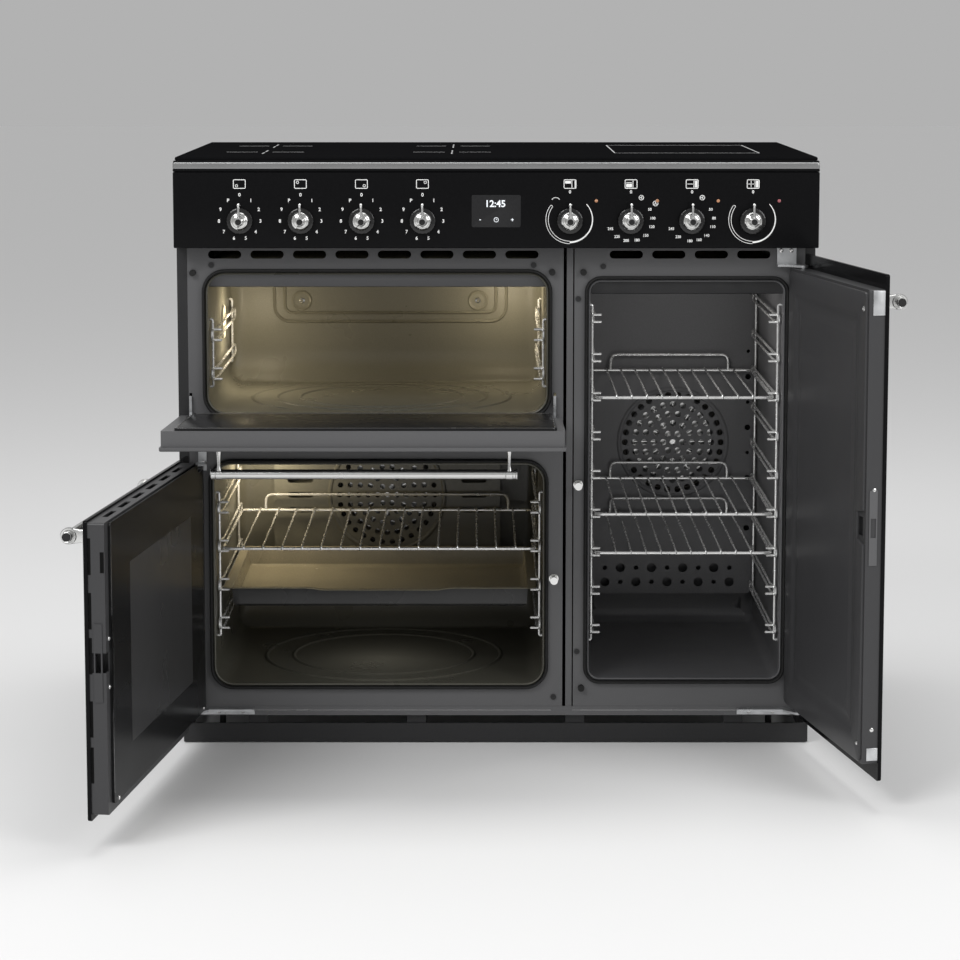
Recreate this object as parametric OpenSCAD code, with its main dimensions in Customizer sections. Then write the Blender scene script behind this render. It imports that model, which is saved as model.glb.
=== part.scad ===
// Freestanding range cooker with an induction hob and three oven cavities:
// a grill oven with a drop-down door, a main oven with a left-hung door and
// a tall oven with a right-hung door. All three doors stand open, as in use.
// X runs to the viewer's right, Y to the back of the cooker and Z up. The
// origin is at floor level, mid-width, in the plane of the side doors' hinge
// pins. Doors are drawn closed and then swung open about their hinges.

/* [Cabinet] */
// Width over the side panels
cooker_w = 1000; // [960:10:1060]
// Depth from the fascia's face to the rear edge of the hob
cooker_d = 600; // [590:5:640]
// Height of the hob surface above the floor
cooker_h = 938; // [932:1:950]
// Thickness of the sheet-metal panels
sheet = 1.5; // [1:0.1:2]
// Thickness of the front frames
frame_t = 2; // [1.5:0.1:3]
// Width of the visible front edge of each side panel
column_w = 15.7; // [12:0.1:18]
// Height of the base tray above the floor
base_z = 46; // [44:0.5:48]
// Height of the front frames' lower edge above the floor
frame_z = 61; // [60:0.5:62]
// Height of the plinth's upper edge above the floor
plinth_h = 32; // [26:1:36]
// Thickness of the plinth board
plinth_t = 5; // [3:1:18]
// Radius of each foot's pad
foot_r = 20; // [16:1:26]
// Radius of each foot's threaded stud
stud_r = 5; // [4:0.5:6]
// Distance of the rear panel ahead of the hob's rear edge
back_inset = 10; // [8:1:20]
// Width of the bay behind the two left-hand doors
left_bay_w = 604.5; // [600:0.5:610]
// Width of the strip between the two front frames
strip_w = 10; // [8:0.5:11]

/* [Fascia and hob] */
// Distance of the fascia's face ahead of the front frames
fascia_out = 45; // [44:0.5:50]
// Height of the fascia
fascia_h = 118; // [112:1:124]
// Thickness of the fascia's face
fascia_t = 3; // [2:0.5:4]
// Height of the hob's metal frame
hob_frame_h = 17; // [15:0.5:20]
// Thickness of the hob's glass
hob_glass_t = 6; // [4:0.5:8]
// Inset of the glass from the hob frame's edge
hob_glass_inset = 3; // [2:0.5:6]
// Distance between neighbouring dials
dial_pitch = 94.3; // [90:0.1:96]
// Distance of the innermost dials from the middle
dial_start = 114; // [110:1:120]
// Height of the dial centres above the fascia's lower edge
dial_up = 42.5; // [40:0.5:48]
// Width of the display window
display_w = 76; // [60:1:90]
// Height of the display window
display_h = 50; // [40:1:60]

/* [Knobs] */
// Radius of a knob's black skirt
skirt_r = 20.5; // [18:0.5:24]
// Depth of a knob's black skirt
skirt_d = 7; // [5:0.5:10]
// Radius of a knob's chrome disc
disc_r = 14.5; // [12:0.5:17]
// Radius of a knob's central boss
boss_r = 7; // [6:0.5:9]
// Distance of the boss's end ahead of the fascia
boss_out = 31; // [26:1:36]
// Reach of the pointer lever from the knob's axis
lever_reach = 27; // [24:0.5:30]
// Width of the pointer lever
lever_w = 3.4; // [3:0.1:5]
// Radius of a knob's shaft
shaft_r = 3; // [2.5:0.1:4]

/* [Ovens] */
// Width of the front frame between the cabinet's side and the grill oven's opening
left_jamb = 46.5; // [45:0.5:50]
// Width of the front frame between the grill oven's opening and the left bay's edge
post_jamb = 24; // [23:0.5:30]
// Height of the front frame above the grill oven's opening
grill_head = 43.2; // [42:0.1:60]
// Height of the grill oven's floor above the cooker's floor level
grill_z = 533; // [531:1:536]
// Space behind the grill oven
grill_rear = 140; // [125:5:160]
// Distance of the main oven's sides inside the grill oven's sides
main_inset = 6; // [5:0.5:10]
// Height of the main oven's opening
main_h = 355; // [345:1:357]
// Height of the main oven's floor
main_z = 97; // [95:1:100]
// Distance from the left bay's edge to the tall oven's opening
tall_jamb = 42.5; // [40:0.5:46]
// Width of the front frame between the tall oven's opening and the cabinet's side
right_jamb = 48; // [44:0.5:52]
// Height of the front frame above the tall oven's opening
tall_head = 54.2; // [50:0.1:70]
// Height of the tall oven's floor
tall_z = 106; // [102:1:110]
// Space behind the main and tall ovens, for the fan motors
oven_rear = 105; // [95:5:115]
// Corner radius of the grill and main openings
mouth_r = 29; // [22:1:34]
// Corner radius of the tall opening
tall_mouth_r = 18; // [14:1:24]
// Thickness of the enamelled oven liners
liner_t = 1.5; // [1:0.1:2]
// Thickness of the insulation blankets
wool_t = 22; // [14:1:23]
// Distance of the fan covers ahead of the oven's rear wall
cover_out = 32; // [30:1:40]

/* [Seals] */
// Width of the door seals
seal_w = 6; // [4:0.5:7]
// Width of the raised lip around each oven mouth
lip_w = 1; // [0.8:0.1:1.5]

/* [Doors] */
// Distance of the side doors' hinge pins ahead of the front frames
pin_setback = 29; // [28:0.5:31]
// Distance of the side doors' hinge pins from the door's hinged edge
pin_inset = 19; // [17:0.5:19]
// Distance of the closed doors' inner faces ahead of the front frames
door_gap = 9; // [9:0.5:10]
// Thickness of the doors from inner face to outer face
door_t = 34; // [33:0.5:35]
// Thickness of the doors' outer panels
skin_t = 6; // [5:0.5:6]
// Thickness of the doors' inner panels
pane_t = 4; // [3:0.5:5]
// Gap between the closed doors and the cabinet's sides
door_side_gap = 2; // [1:0.5:3]
// Gap between the left-hand doors and the tall door when closed
door_between = 3; // [3:0.5:4]
// Height of the side doors' lower edges
door_z = 44; // [42:1:46]
// Height of the main door's upper edge
main_door_top = 466.5; // [465:0.5:466.5]
// Distance of the grill and tall doors' upper edges below the front frames' top
door_top_gap = 10.2; // [8.2:0.5:12.2]
// Angle at which the main door stands open
main_open = 97.5; // [90:0.5:100]
// Angle at which the tall door stands open
tall_open = 100.5; // [90:0.5:104]
// Angle at which the grill door rests open
grill_open = 87; // [86:0.5:90]
// Distance of the grill door's pivot ahead of the front frames
pivot_out = 30; // [30:0.5:31]
// Height of the grill door's pivot
pivot_z = 515; // [515:0.5:517]
// Length of the grill door's outer panel below its pivot
grill_skirt = 28; // [20:1:28]

/* [Handles and latches] */
// Radius of the handle bars
bar_r = 7.5; // [6.5:0.5:8]
// Distance of the side doors' handle bars from the door's face
side_standoff = 43; // [38:1:50]
// Distance of the grill door's handle bar from the door's face
grill_standoff = 38; // [36:0.5:38.5]
// Distance of the handle bars' ends from the doors' sides
handle_in = 71.5; // [60:0.5:90]
// Distance of the grill and tall doors' handle bars below the doors' upper edges
handle_drop = 48; // [44:1:56]
// Distance of the main door's handle bar below the door's upper edge
main_handle_drop = 37; // [30:1:44]
// Radius of the eyes that hold the side doors' handle bars
eye_r = 12; // [9:0.1:13]
// Width of a handle post
post_w = 9; // [6:1:12]
// Radius of the hinge pins
pin_r = 4; // [3.5:0.5:5]
// Length of a latch stud ahead of the front frames
latch_out = 22; // [16:1:23]
// Radius of a latch stud's head
latch_r = 6; // [5:0.5:6.5]

/* [Racks and shelves] */
// Radius of the side racks' wires
rack_r = 2.2; // [1.8:0.1:2.4]
// Radius of the shelves' frame wires
shelf_r = 2.5; // [2:0.1:2.6]
// Radius of the shelves' thin wires
thin_r = 1.6; // [1.2:0.1:2]
// Vertical distance between rack levels
level_pitch = 62.5; // [60:0.5:64]
// Height of the main oven's lowest rack level above its floor
main_level = 84; // [70:1:90]
// Height of the tall oven's lowest rack level above its floor
tall_level = 68; // [60:1:80]
// Height of a guide between its two wires in the main oven
main_guide = 17; // [15:0.5:20]
// Height of a guide between its two wires in the tall oven
tall_guide = 11.5; // [11.4:0.1:14]
// Gap between the shelves and the fan covers
shelf_gap = 12; // [8:1:40]
// Height of the shelves' rear guard
guard_h = 27; // [20:1:30]
// Depth of the tray
tray_deep = 32; // [20:1:40]

/* [Fans and elements] */
// Radius of the fan wheels
fan_r = 68; // [60:1:74]
// Width of the fan blades
blade_w = 14; // [10:1:16]
// Radius of the fan motors' shafts
fan_shaft_r = 4; // [3:0.5:5]
// Radius of the ring elements
ring_r = 84; // [82:1:88]
// Radius of the heating elements' tube
tube_r = 3.3; // [2.8:0.1:3.6]
// Height of the main fan's axis above the oven floor
main_fan_up = 238; // [225:1:245]
// Height of the tall fan's axis above the oven floor
tall_fan_up = 321; // [310:1:330]

/* [Hidden] */
$fn = 48;

touch = 0.3;      // clearance between neighbouring pieces
running = 0.05;   // radial clearance of a turning fit
eps = 0.5;        // overlap of a cut past a face, and of welded wires

half_w = cooker_w / 2;
face_y = pin_setback;
fascia_y = face_y - fascia_out;
rear_y = fascia_y + cooker_d;
back_y = rear_y - back_inset;
glass_z = cooker_h - hob_glass_t;
hob_z = glass_z - hob_frame_h;
top_z = hob_z - touch;
fascia_z = top_z - fascia_h;
frame_top = fascia_z - 0.5;
flange_y = face_y + frame_t + touch;
split_x = left_bay_w - half_w;
strip_x = split_x + 6.5;
grill_w = left_bay_w - left_jamb - post_jamb;
main_w = grill_w - 2 * main_inset;
tall_w = cooker_w - left_bay_w - tall_jamb - right_jamb;
left_cx = -half_w + left_jamb + grill_w / 2;
tall_cx = split_x + tall_jamb + tall_w / 2;
grill_h = frame_top - grill_head - grill_z;
tall_h = frame_top - tall_head - tall_z;
grill_d = back_y - face_y - grill_rear;
oven_d = back_y - face_y - oven_rear;
door_top = frame_top - door_top_gap;
seal_out = lip_w + 0.2 + seal_w;
door_face = face_y - door_gap;
door_front = door_face - door_t;
core_back = door_face - pane_t;
skin_back = door_front + skin_t;
core_in = 2;
pane_in = 6;

// oven mouths as [middle x, width, floor z, height, corner radius, depth]
grill_oven = [left_cx, grill_w, grill_z, grill_h, mouth_r, grill_d];
main_oven = [left_cx + 1, main_w, main_z, main_h, mouth_r, oven_d];
tall_oven = [tall_cx, tall_w, tall_z, tall_h, tall_mouth_r, oven_d];
ovens = [grill_oven, main_oven, tall_oven];
function low_x(o) = o[0] - o[1] / 2;
function high_x(o) = o[0] + o[1] / 2;
function top_of(o) = o[2] + o[3];
function wall_y(o) = face_y + o[5];

tube_room = 22 + tube_r;    // height that the grill's heating tube takes under the oven's top
main_fan = [main_oven[0], main_z + main_fan_up];
tall_fan = [tall_cx + 8, tall_z + tall_fan_up];
rack_ends = 16;    // height of a rack's uprights above its highest guide
main_room = main_guide + rack_ends + rack_r;
tall_room = tall_guide + rack_ends + rack_r;
main_levels = [for (z = [main_z + main_level:level_pitch:top_of(main_oven) - main_room]) z];
tall_levels = [for (z = [tall_z + tall_level:level_pitch:top_of(tall_oven) - tall_room]) z];
grill_levels = [for (z = [grill_z + 50:62:top_of(grill_oven) - main_room - tube_room]) z];
dial_x = [for (i = [3:-1:0]) -dial_start - i * dial_pitch,
          for (i = [0:3]) dial_start + i * dial_pitch];
dial_z = fascia_z + dial_up;

// side doors, drawn closed: the grill and main doors end at left_free, the
// tall door at tall_free
left_edge = -half_w + door_side_gap;
right_edge = half_w - door_side_gap;
left_free = split_x - door_between / 2;
tall_free = split_x + door_between / 2;
main_pin = [left_edge + pin_inset, 0];
tall_pin = [right_edge - pin_inset, 0];
pivot = [face_y - pivot_out, pivot_z];
core_low = door_z + 9;
tall_core_low = door_z + 26;
main_core_top = main_door_top - 3;
grill_core_top = door_top - 7;
tall_core_top = door_top - 22;
notch_z = frame_z + 0.5;
grill_core_low = pivot_z - 16;
grill_pane_low = pivot_z - 11;
strap_t = 3.5;
strap_z = notch_z - strap_t - 3;
main_strap_z = main_core_top - 11.5;
tall_strap_z = tall_core_top + 1.5;
bush_h = 14;
bush_r = 7.5;
pin_over = 4;     // length of a hinge pin past its bush
grill_arm_x = [left_edge + 17.4, left_free - 10.4];
arm_t = 4;
main_latch = [split_x - 12.5, 268];
tall_latch = [split_x + 25.5, 419];
screw_r = 4.5;
latch_stem = 3;
stud_hole = latch_stem + touch;
door_rim = 36;    // width of the door cores' frames
post_in = 13;     // distance of a handle's posts from its ends
post_round = 0.8; // how far a post's top and bottom lie inside its eye
core_t = 2;       // thickness of the sheet that the door cores are folded from
core_r = 4;
core_window_r = 10;
skin_r = 3;
pane_r = 6;
grill_window_in = 5;   // how far the grill core's window lies inside the oven's height
arm_room = 26;         // height of the cut for a hinge arm above the pivot
notch_l = 104;         // length of a side core's lower notch past the pin
top_notch_l = 36;
notch_back = 30;
latch_cut = [10, 14];  // half the width and height of the latch's cut in the core
plate_half = 55;
plate_t = 1.3;
groove_in = 42;        // the groove pressed into the tall door's lining
groove_w = 8;
groove_t = 1.6;
weld = 1;         // overlap of solids that are joined end to end

// back panel: side folds, vent slots and the two screw holes
fold = 6;
vent_w = 42;
vent_h = 8;
vent_pitch = 60;
vent_row = 32;
vent_drop = 178.7;
back_hole_in = 100;
back_hole_drop = 60;

// terminal block, as half its width and height, and its cable gland
block_half = [40, 30];
block_deep = 36;
block_t = 3;
gland_out = 8;

// base tray, plinth and front frames
base_t = 2;
boss_h = 14;
boss_wall = 6;
nut_h = 6;
nut_wall = 5;
base_slot_w = 60;
base_slot_h = 8;
base_slot_row = 60;
base_slot_pitch = 90;
base_margin = [140, 120];
plinth_back = 3;
plinth_in = 1;
plinth_low = 2;
plinth_rear = 40;
clip_in = 120;
clip_w = 30;
clip_t = 2;
clip_back = 4;
frame_lap = 1.5;
frame_seam = 2;
web_in = 1;
arm_slot_low = 12;
arm_slot_h = 62;

// cabinet: feet, cable gland and vent slots, as [x, y] and [x, z]
foot_xy = [for (x = [-half_w + 60, half_w - 60], y = [face_y + 45, back_y - 60]) [x, y]];
foot_pad_h = 8;
gland = [half_w - 120, base_z + 104];
gland_r = 13;
gland_bore = 8;
screw_hole = 3.2;
slot_w = 52;
slot_h = 12.5;
slot_pitch = 66.5;
slot_z = frame_top - 19;
left_slots = [for (x = [-half_w + 75:slot_pitch:split_x - slot_w]) x];
right_slots = [for (x = [split_x + 99.5:slot_pitch:half_w - slot_w]) x];
bumper_at = [
    [-half_w + 25, door_top - 31], [split_x - 16.5, door_top - 30],
    [split_x + 32.5, door_top - 30], [split_x + 31.5, 91]
];
screw_at = [
    [-half_w + 54, frame_top - 29], [split_x - 45.5, frame_top - 29],
    [strip_x + strip_w + 47, frame_top - 31], [half_w - 28, frame_top - 60],
    [split_x - 12.5, 76], [-half_w + 30, 300],
    [strip_x + strip_w + 8, frame_top - 82.2], [strip_x + strip_w + 8, 150], [half_w - 28, 250]
];

// fascia and hob: coils as [x, share of the depth, radius]
coils = [[-370, 0.3, 72], [-370, 0.7, 90], [-60, 0.28, 90], [-60, 0.7, 72], [290, 0.5, 120]];
coil_h = 10;
lamp_spots = [for (i = [4:7]) [dial_x[i] + 40.7, dial_z + 31]];
lamp_jewel = 2.7;
display_z = fascia_z + 32.5;
shaft_hole = 5;
fascia_fold = 2;
screen_back = 0.4;   // depth of the display's face behind the fascia's
screen_edge = 8;
screen_rim = 6;
screen_d = 16;
jewel_out = 0.8;
jewel_back = 12;
jewel_rim = 2;
switch_r = 17;
switch_h = 24;
switch_cap = 4;
rim_w = 6;           // width of the hob frame's rim, and the thickness of its floor
rim_t = 1.2;
board_rest = [30, 20];
board_h = 60;
glass_r = 5;

// knobs
disc_h = 6;
disc_taper = 2;
lever_in = 6;        // depth of the lever behind the boss's face
lever_t = 4;
ball_r = 0.8;        // how much the ball at the lever's end is wider than the lever
button_in = 2.3;
shaft_back = 18;

// latch studs, bumpers and screws
head_t = 4;
stud_back = 1.5;
collar_out = 1.5;
collar_t = 2;
bumper_r = 5;
bumper_gap = 0.5;
screw_head_t = 2;
screw_slot = [5, 1, 0.8];   // length, width and depth

// hinge straps, from the pin's centre, and the grill door's arms
eye_strap_r = 7;
leaf_in = 9;
leaf_deep = 14;
leaf_t = 3;
strap_l = 94;
main_top_strap_l = 22;
tall_top_strap_l = 39;
arm_eye_r = 6;
arm_pin_r = 3;
arm_high = 44;
arm_tail = 1.5;
arm_step = 6;
arm_low = 5;
arm_bend = 20;

// ovens: lips and flanges, the rings pressed into the floors, and the wool's cut-outs
lip_out = 1;
flange_w = 2;
emboss = 1.2;
emboss_w = 7;
ring_back = 10;
grill_ring_r = 165;
main_ring_r = 170;
shaft_room = 2;
wool_past = 5;
wool_motor = 44;
wool_leg = [24, 12];
wool_tube = 8;
wool_lamp = 2;

// side racks
rack_low = 12;     // length of a rack's uprights below its lowest wire
rack_in = 14;      // distance of the uprights from the racks' ends
rack_foot = 5;     // distance of the uprights' feet from their ends
rack_gap = 8;      // gap between the racks and the fan covers
grill_rack_gap = 12;

// fan covers: rings of holes, slots, and the tall cover's outer holes
hole_rings_n = 5;
hole_pitch = 16.5;
main_hole = 4.6;
tall_hole = 5.4;
cover_r = 12;
cover_slot_w = 44;
cover_slot_h = 10;
cover_slot_in = 45;
cover_slot_row = 26;
edge_hole_in = 11;
edge_hole_pitch = 88;
edge_hole_top = 99;
edge_hole_low = 150;
edge_hole_r = [5, 3];
foot_hole_margin = 44.5;
foot_hole_up = 20;
foot_hole_row = 25;
foot_hole_r = [8, 4];

// fan wheels and motors, as distances behind or ahead of the oven's rear wall
wheel_front = 26;
wheel_back = 46;
hub_front = 24;
hub_back = 4;
hub_wall = 7;
disc_front = 8;
disc_t = 1.5;
blade_n = 12;
blade_t = 1.2;
motor_r = 36;
motor_cap = 3;

// elements: ring elements ahead of the wall, and the grill's tube
ring_front = 15;
leg_back = 34;
tube_start = 90;
tube_end = 40;
tube_back = 30;
hanger_in = 90;
hanger_t = 4;

// oven fittings
lamp_r = 27;
lamp_cover_t = 4.5;
lens_out = 8;
lens_in = 6;
lamp_side_l = 30;
lamp_hole = 20;
leg_r = tube_r - 0.6;
leg_side = 14;
leg_up = sqrt(ring_r * ring_r - leg_side * leg_side);
grill_lamp = [face_y + grill_d / 2 + 47.5, grill_z + grill_h / 2 + 10];
main_lamp = [low_x(main_oven) + 45, top_of(main_oven) - 42];
tall_lamp = [tall_cx, top_of(tall_oven) - 34];
cover_side = 66;    // distance of the main fan cover's sides from the oven's sides
main_cover = [low_x(main_oven) + cover_side, main_fan[1] - 112,
              high_x(main_oven) - cover_side, main_fan[1] + 108];
tall_cover = [low_x(tall_oven) + 5, tall_z + 56, high_x(tall_oven) - 5, top_of(tall_oven) - 58];
cover_t = 1.2;
element_z = top_of(grill_oven) - tube_room + tube_r;
element_run = 46;
element_legs = [grill_oven[0] - 4.5 * element_run, grill_oven[0] + 4.5 * element_run];
motor_h = 50;
motor_foot = [78, 34];
holder_l = 40;    // length of a lamp's holder behind the wall
board_x = half_w - 200;
board_y = (fascia_y + rear_y) / 2 + 16;
board_half = [90, 120];
board_t = 2;
stand_off = 5.5;
rail_off = stand_off + 2 * rack_r - eps;
shelf_in = rail_off + 1.6;
shelf_rest = rack_r + touch + shelf_r;
rack_front = 20;    // distance of the racks' front ends behind the front frames
shelf_y0 = face_y + rack_front + 2 * rack_r + touch;
shelf_y1 = wall_y(main_oven) - cover_out - shelf_gap;
tray_rim = 14;
tray_t = 1.4;
tray_r = 22;
wire_edge = 33;    // distance of a shelf's outermost thin wires from its side wires
guard_in = 41;     // distance of a shelf's guard posts from its side wires

// ---- shared shapes ----

module box(low, high) {
    translate(low) cube(high - low);
}

// a flat shape drawn in X and Z, standing from y0 to y1
module slab_y(y0, y1) {
    translate([0, y1, 0]) rotate([90, 0, 0]) linear_extrude(y1 - y0) children();
}

// a flat shape drawn in Y and Z, standing from x0 to x1
module slab_x(x0, x1) {
    translate([x0, 0, 0]) rotate([90, 0, 90]) linear_extrude(x1 - x0) children();
}

module rounded(x0, z0, x1, z1, r) {
    c = min(r, (x1 - x0) / 2 - 0.01, (z1 - z0) / 2 - 0.01);
    translate([x0 + c, z0]) square([x1 - x0 - 2 * c, z1 - z0]);
    translate([x0, z0 + c]) square([x1 - x0, z1 - z0 - 2 * c]);
    for (x = [x0 + c, x1 - c], z = [z0 + c, z1 - c]) translate([x, z]) circle(c);
}

// an oven's mouth outline, grown by a margin
module mouth(o, grow) {
    rounded(low_x(o) - grow, o[2] - grow, high_x(o) + grow, top_of(o) + grow, o[4] + grow);
}

// a slot with round ends, centred
module bar_slot(w, h) {
    rounded(-w / 2, -h / 2, w / 2, h / 2, h / 2);
}

module rod_x(x0, x1, y, z, r, sides = 8) {
    translate([x0, y, z]) rotate([0, 90, 0]) cylinder(x1 - x0, r, r, $fn = sides);
}

module rod_y(x, y0, y1, z, r, sides = 8) {
    translate([x, y0, z]) rotate([-90, 0, 0]) cylinder(y1 - y0, r, r, $fn = sides);
}

module rod_z(x, y, z0, z1, r, sides = 8) {
    translate([x, y, z0]) cylinder(z1 - z0, r, r, $fn = sides);
}

// ---- cabinet ----

module side_panels() {
    color([0.11, 0.11, 0.12]) for (side = [-1, 1]) {
        x0 = side > 0 ? half_w - sheet : -half_w;
        c0 = side > 0 ? half_w - column_w : -half_w;
        box([x0, face_y, base_z], [x0 + sheet, back_y - sheet - touch, top_z]);
        box([c0, face_y, base_z], [c0 + column_w, face_y + frame_t, frame_top]);
    }
}

module back_panel() {
    inner = half_w - sheet - touch;
    color([0.55, 0.56, 0.57]) difference() {
        union() {
            box([-half_w, back_y - sheet, base_z], [half_w, back_y, top_z]);
            for (side = [-1, 1])
                box([side * inner - fold, back_y - sheet - 2 * fold, base_z + sheet + base_t],
                    [side * inner + fold, back_y - sheet, top_z - base_t]);
        }
        for (side = [-1, 1])
            box([side > 0 ? inner : -inner - 2 * fold, back_y - sheet - 2 * fold - eps, base_z],
                [side > 0 ? inner + 2 * fold : -inner, back_y - sheet, top_z]);
        for (x = [-board_x:vent_pitch:board_x], row = [0:3])
            slab_y(back_y - sheet - eps, back_y + eps)
                translate([x, top_z - vent_drop - row * vent_row]) bar_slot(vent_w, vent_h);
        rod_y(gland[0], back_y - sheet - eps, back_y + eps, gland[1], gland_r + touch, 48);
        for (x = [-board_x + back_hole_in, board_x - back_hole_in])
            rod_y(x, back_y - sheet - eps, back_y + eps, top_z - back_hole_drop, screw_hole, 48);
    }
}

module terminal_block() {
    inner = block_half - [block_t, block_t];
    wall_y0 = back_y - sheet;
    color([0.1, 0.1, 0.1]) difference() {
        union() {
            box([gland[0] - block_half[0], wall_y0 - block_deep, gland[1] - block_half[1]],
                [gland[0] + block_half[0], wall_y0 - touch, gland[1] + block_half[1]]);
            rod_y(gland[0], wall_y0 - weld, back_y + gland_out, gland[1], gland_r, 48);
        }
        box([gland[0] - inner[0], wall_y0 - block_deep + block_t, gland[1] - inner[1]],
            [gland[0] + inner[0], wall_y0 - block_t - 1, gland[1] + inner[1]]);
        rod_y(gland[0], wall_y0 - 2 * block_t, back_y + gland_out + eps, gland[1], gland_bore, 48);
    }
}

module base_tray() {
    color([0.5, 0.5, 0.5]) difference() {
        union() {
            box([-half_w + sheet + touch, face_y + frame_t, base_z],
                [half_w - sheet - touch, back_y - sheet - touch, base_z + base_t]);
            box([-half_w + column_w + touch, face_y, base_z],
                [half_w - column_w - touch, face_y + frame_t, frame_z - touch]);
            for (p = foot_xy) rod_z(p[0], p[1], base_z, base_z + boss_h, stud_r + boss_wall, 48);
        }
        for (p = foot_xy)
            rod_z(p[0], p[1], base_z - eps, base_z + boss_h + eps, stud_r + running, 48);
        for (y = [face_y + base_margin[1]:base_slot_row:back_y - base_margin[1]],
             x = [-half_w + base_margin[0]:base_slot_pitch:half_w - base_margin[0]])
            translate([x, y, base_z - eps]) linear_extrude(base_t + 2 * eps)
                bar_slot(base_slot_w, base_slot_h);
    }
}

module feet() {
    color([0.2, 0.2, 0.2]) for (p = foot_xy) {
        rod_z(p[0], p[1], 0, foot_pad_h, foot_r, 48);
        rod_z(p[0], p[1], foot_pad_h - weld, foot_pad_h + nut_h, stud_r + nut_wall, 6);
        rod_z(p[0], p[1], foot_pad_h + nut_h - weld, base_z + boss_h - 1, stud_r, 48);
    }
}

module plinth() {
    y0 = face_y + plinth_back;
    x1 = half_w - plinth_in;
    color([0.06, 0.06, 0.06]) {
        box([-x1, y0, plinth_low], [x1, y0 + plinth_t, plinth_h]);
        for (side = [-1, 1]) {
            x0 = side > 0 ? x1 - plinth_t : -x1;
            box([x0, y0, plinth_low], [x0 + plinth_t, back_y - plinth_rear, plinth_h]);
        }
        for (x = [-half_w + clip_in:(cooker_w - 2 * clip_in) / 3:half_w - clip_in + 1])
            box([x - clip_w / 2, y0 + clip_back, plinth_h - weld],
                [x + clip_w / 2, y0 + clip_back + clip_t, base_z - touch]);
    }
}

module centre_post() {
    color([0.17, 0.17, 0.18]) {
        box([strip_x, face_y, frame_z], [strip_x + strip_w, face_y + frame_t, frame_top]);
        box([strip_x + web_in, face_y + frame_t, base_z + base_t + touch],
            [strip_x + web_in + sheet, back_y - sheet - touch, frame_top]);
    }
}

module slot_at(x) {
    rounded(x - slot_w / 2, slot_z, x + slot_w / 2, slot_z + slot_h, slot_h / 2);
}

module front_frame_left() {
    color([0.2, 0.2, 0.21]) slab_y(face_y, face_y + frame_t) difference() {
        translate([-half_w + column_w + touch, frame_z])
            square([split_x + frame_lap + half_w - column_w - touch, frame_top - frame_z]);
        mouth(grill_oven, seal_out + touch);
        mouth(main_oven, seal_out + touch);
        for (x = left_slots) slot_at(x);
        for (x = grill_arm_x)
            translate([x - arm_t / 2 - touch, pivot_z - arm_slot_low])
                square([arm_t + 2 * touch, arm_slot_h]);
        translate(main_latch) circle(stud_hole);
    }
}

module front_frame_right() {
    x0 = strip_x + strip_w + frame_seam;
    color([0.2, 0.2, 0.21]) slab_y(face_y, face_y + frame_t) difference() {
        translate([x0, frame_z])
            square([half_w - column_w - touch - x0, frame_top - frame_z]);
        mouth(tall_oven, seal_out + touch);
        for (x = right_slots) slot_at(x);
        translate(tall_latch) circle(stud_hole);
    }
}

// ---- ovens ----

module liner(o) {
    difference() {
        union() {
            slab_y(flange_y, wall_y(o) + liner_t) mouth(o, liner_t);
            slab_y(flange_y, flange_y + liner_t) mouth(o, seal_out + flange_w);
            slab_y(face_y - lip_out, flange_y + eps) mouth(o, lip_w);
        }
        slab_y(face_y - 2 * lip_out, wall_y(o)) mouth(o, 0);
    }
}

// an embossed ring on an oven floor
module floor_ring(o, r) {
    translate([o[0], face_y + o[5] / 2 + ring_back, o[2] - eps]) difference() {
        cylinder(eps + emboss, r, r, $fn = 64);
        translate([0, 0, -eps]) cylinder(eps * 3 + emboss, r - emboss_w, r - emboss_w, $fn = 64);
    }
}

module fan_holes(fan) {
    y0 = face_y + oven_d - eps;
    y1 = face_y + oven_d + liner_t + eps;
    rod_y(fan[0], y0, y1, fan[1], fan_shaft_r + shaft_room, 48);
    for (side = [-1, 1])
        rod_y(fan[0] + side * leg_side, y0, y1, fan[1] + leg_up, leg_r + touch, 48);
}

module cavity_grill() {
    color([0.25, 0.24, 0.2]) difference() {
        union() {
            liner(grill_oven);
            floor_ring(grill_oven, grill_ring_r);
        }
        slab_x(low_x(grill_oven) - liner_t - eps, low_x(grill_oven) + eps)
            translate(grill_lamp) circle(lamp_hole);
        for (x = element_legs)
            rod_y(x, wall_y(grill_oven) - eps, wall_y(grill_oven) + liner_t + eps,
                  element_z, tube_r + touch, 48);
    }
}

module cavity_main() {
    color([0.2, 0.2, 0.17]) difference() {
        union() {
            liner(main_oven);
            floor_ring(main_oven, main_ring_r);
        }
        fan_holes(main_fan);
        rod_y(main_lamp[0], wall_y(main_oven) - eps, wall_y(main_oven) + liner_t + eps,
              main_lamp[1], lamp_hole, 48);
    }
}

module cavity_tall() {
    color([0.16, 0.16, 0.17]) difference() {
        liner(tall_oven);
        fan_holes(tall_fan);
        rod_y(tall_lamp[0], wall_y(tall_oven) - eps, wall_y(tall_oven) + liner_t + eps,
              tall_lamp[1], lamp_hole, 48);
    }
}

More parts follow.
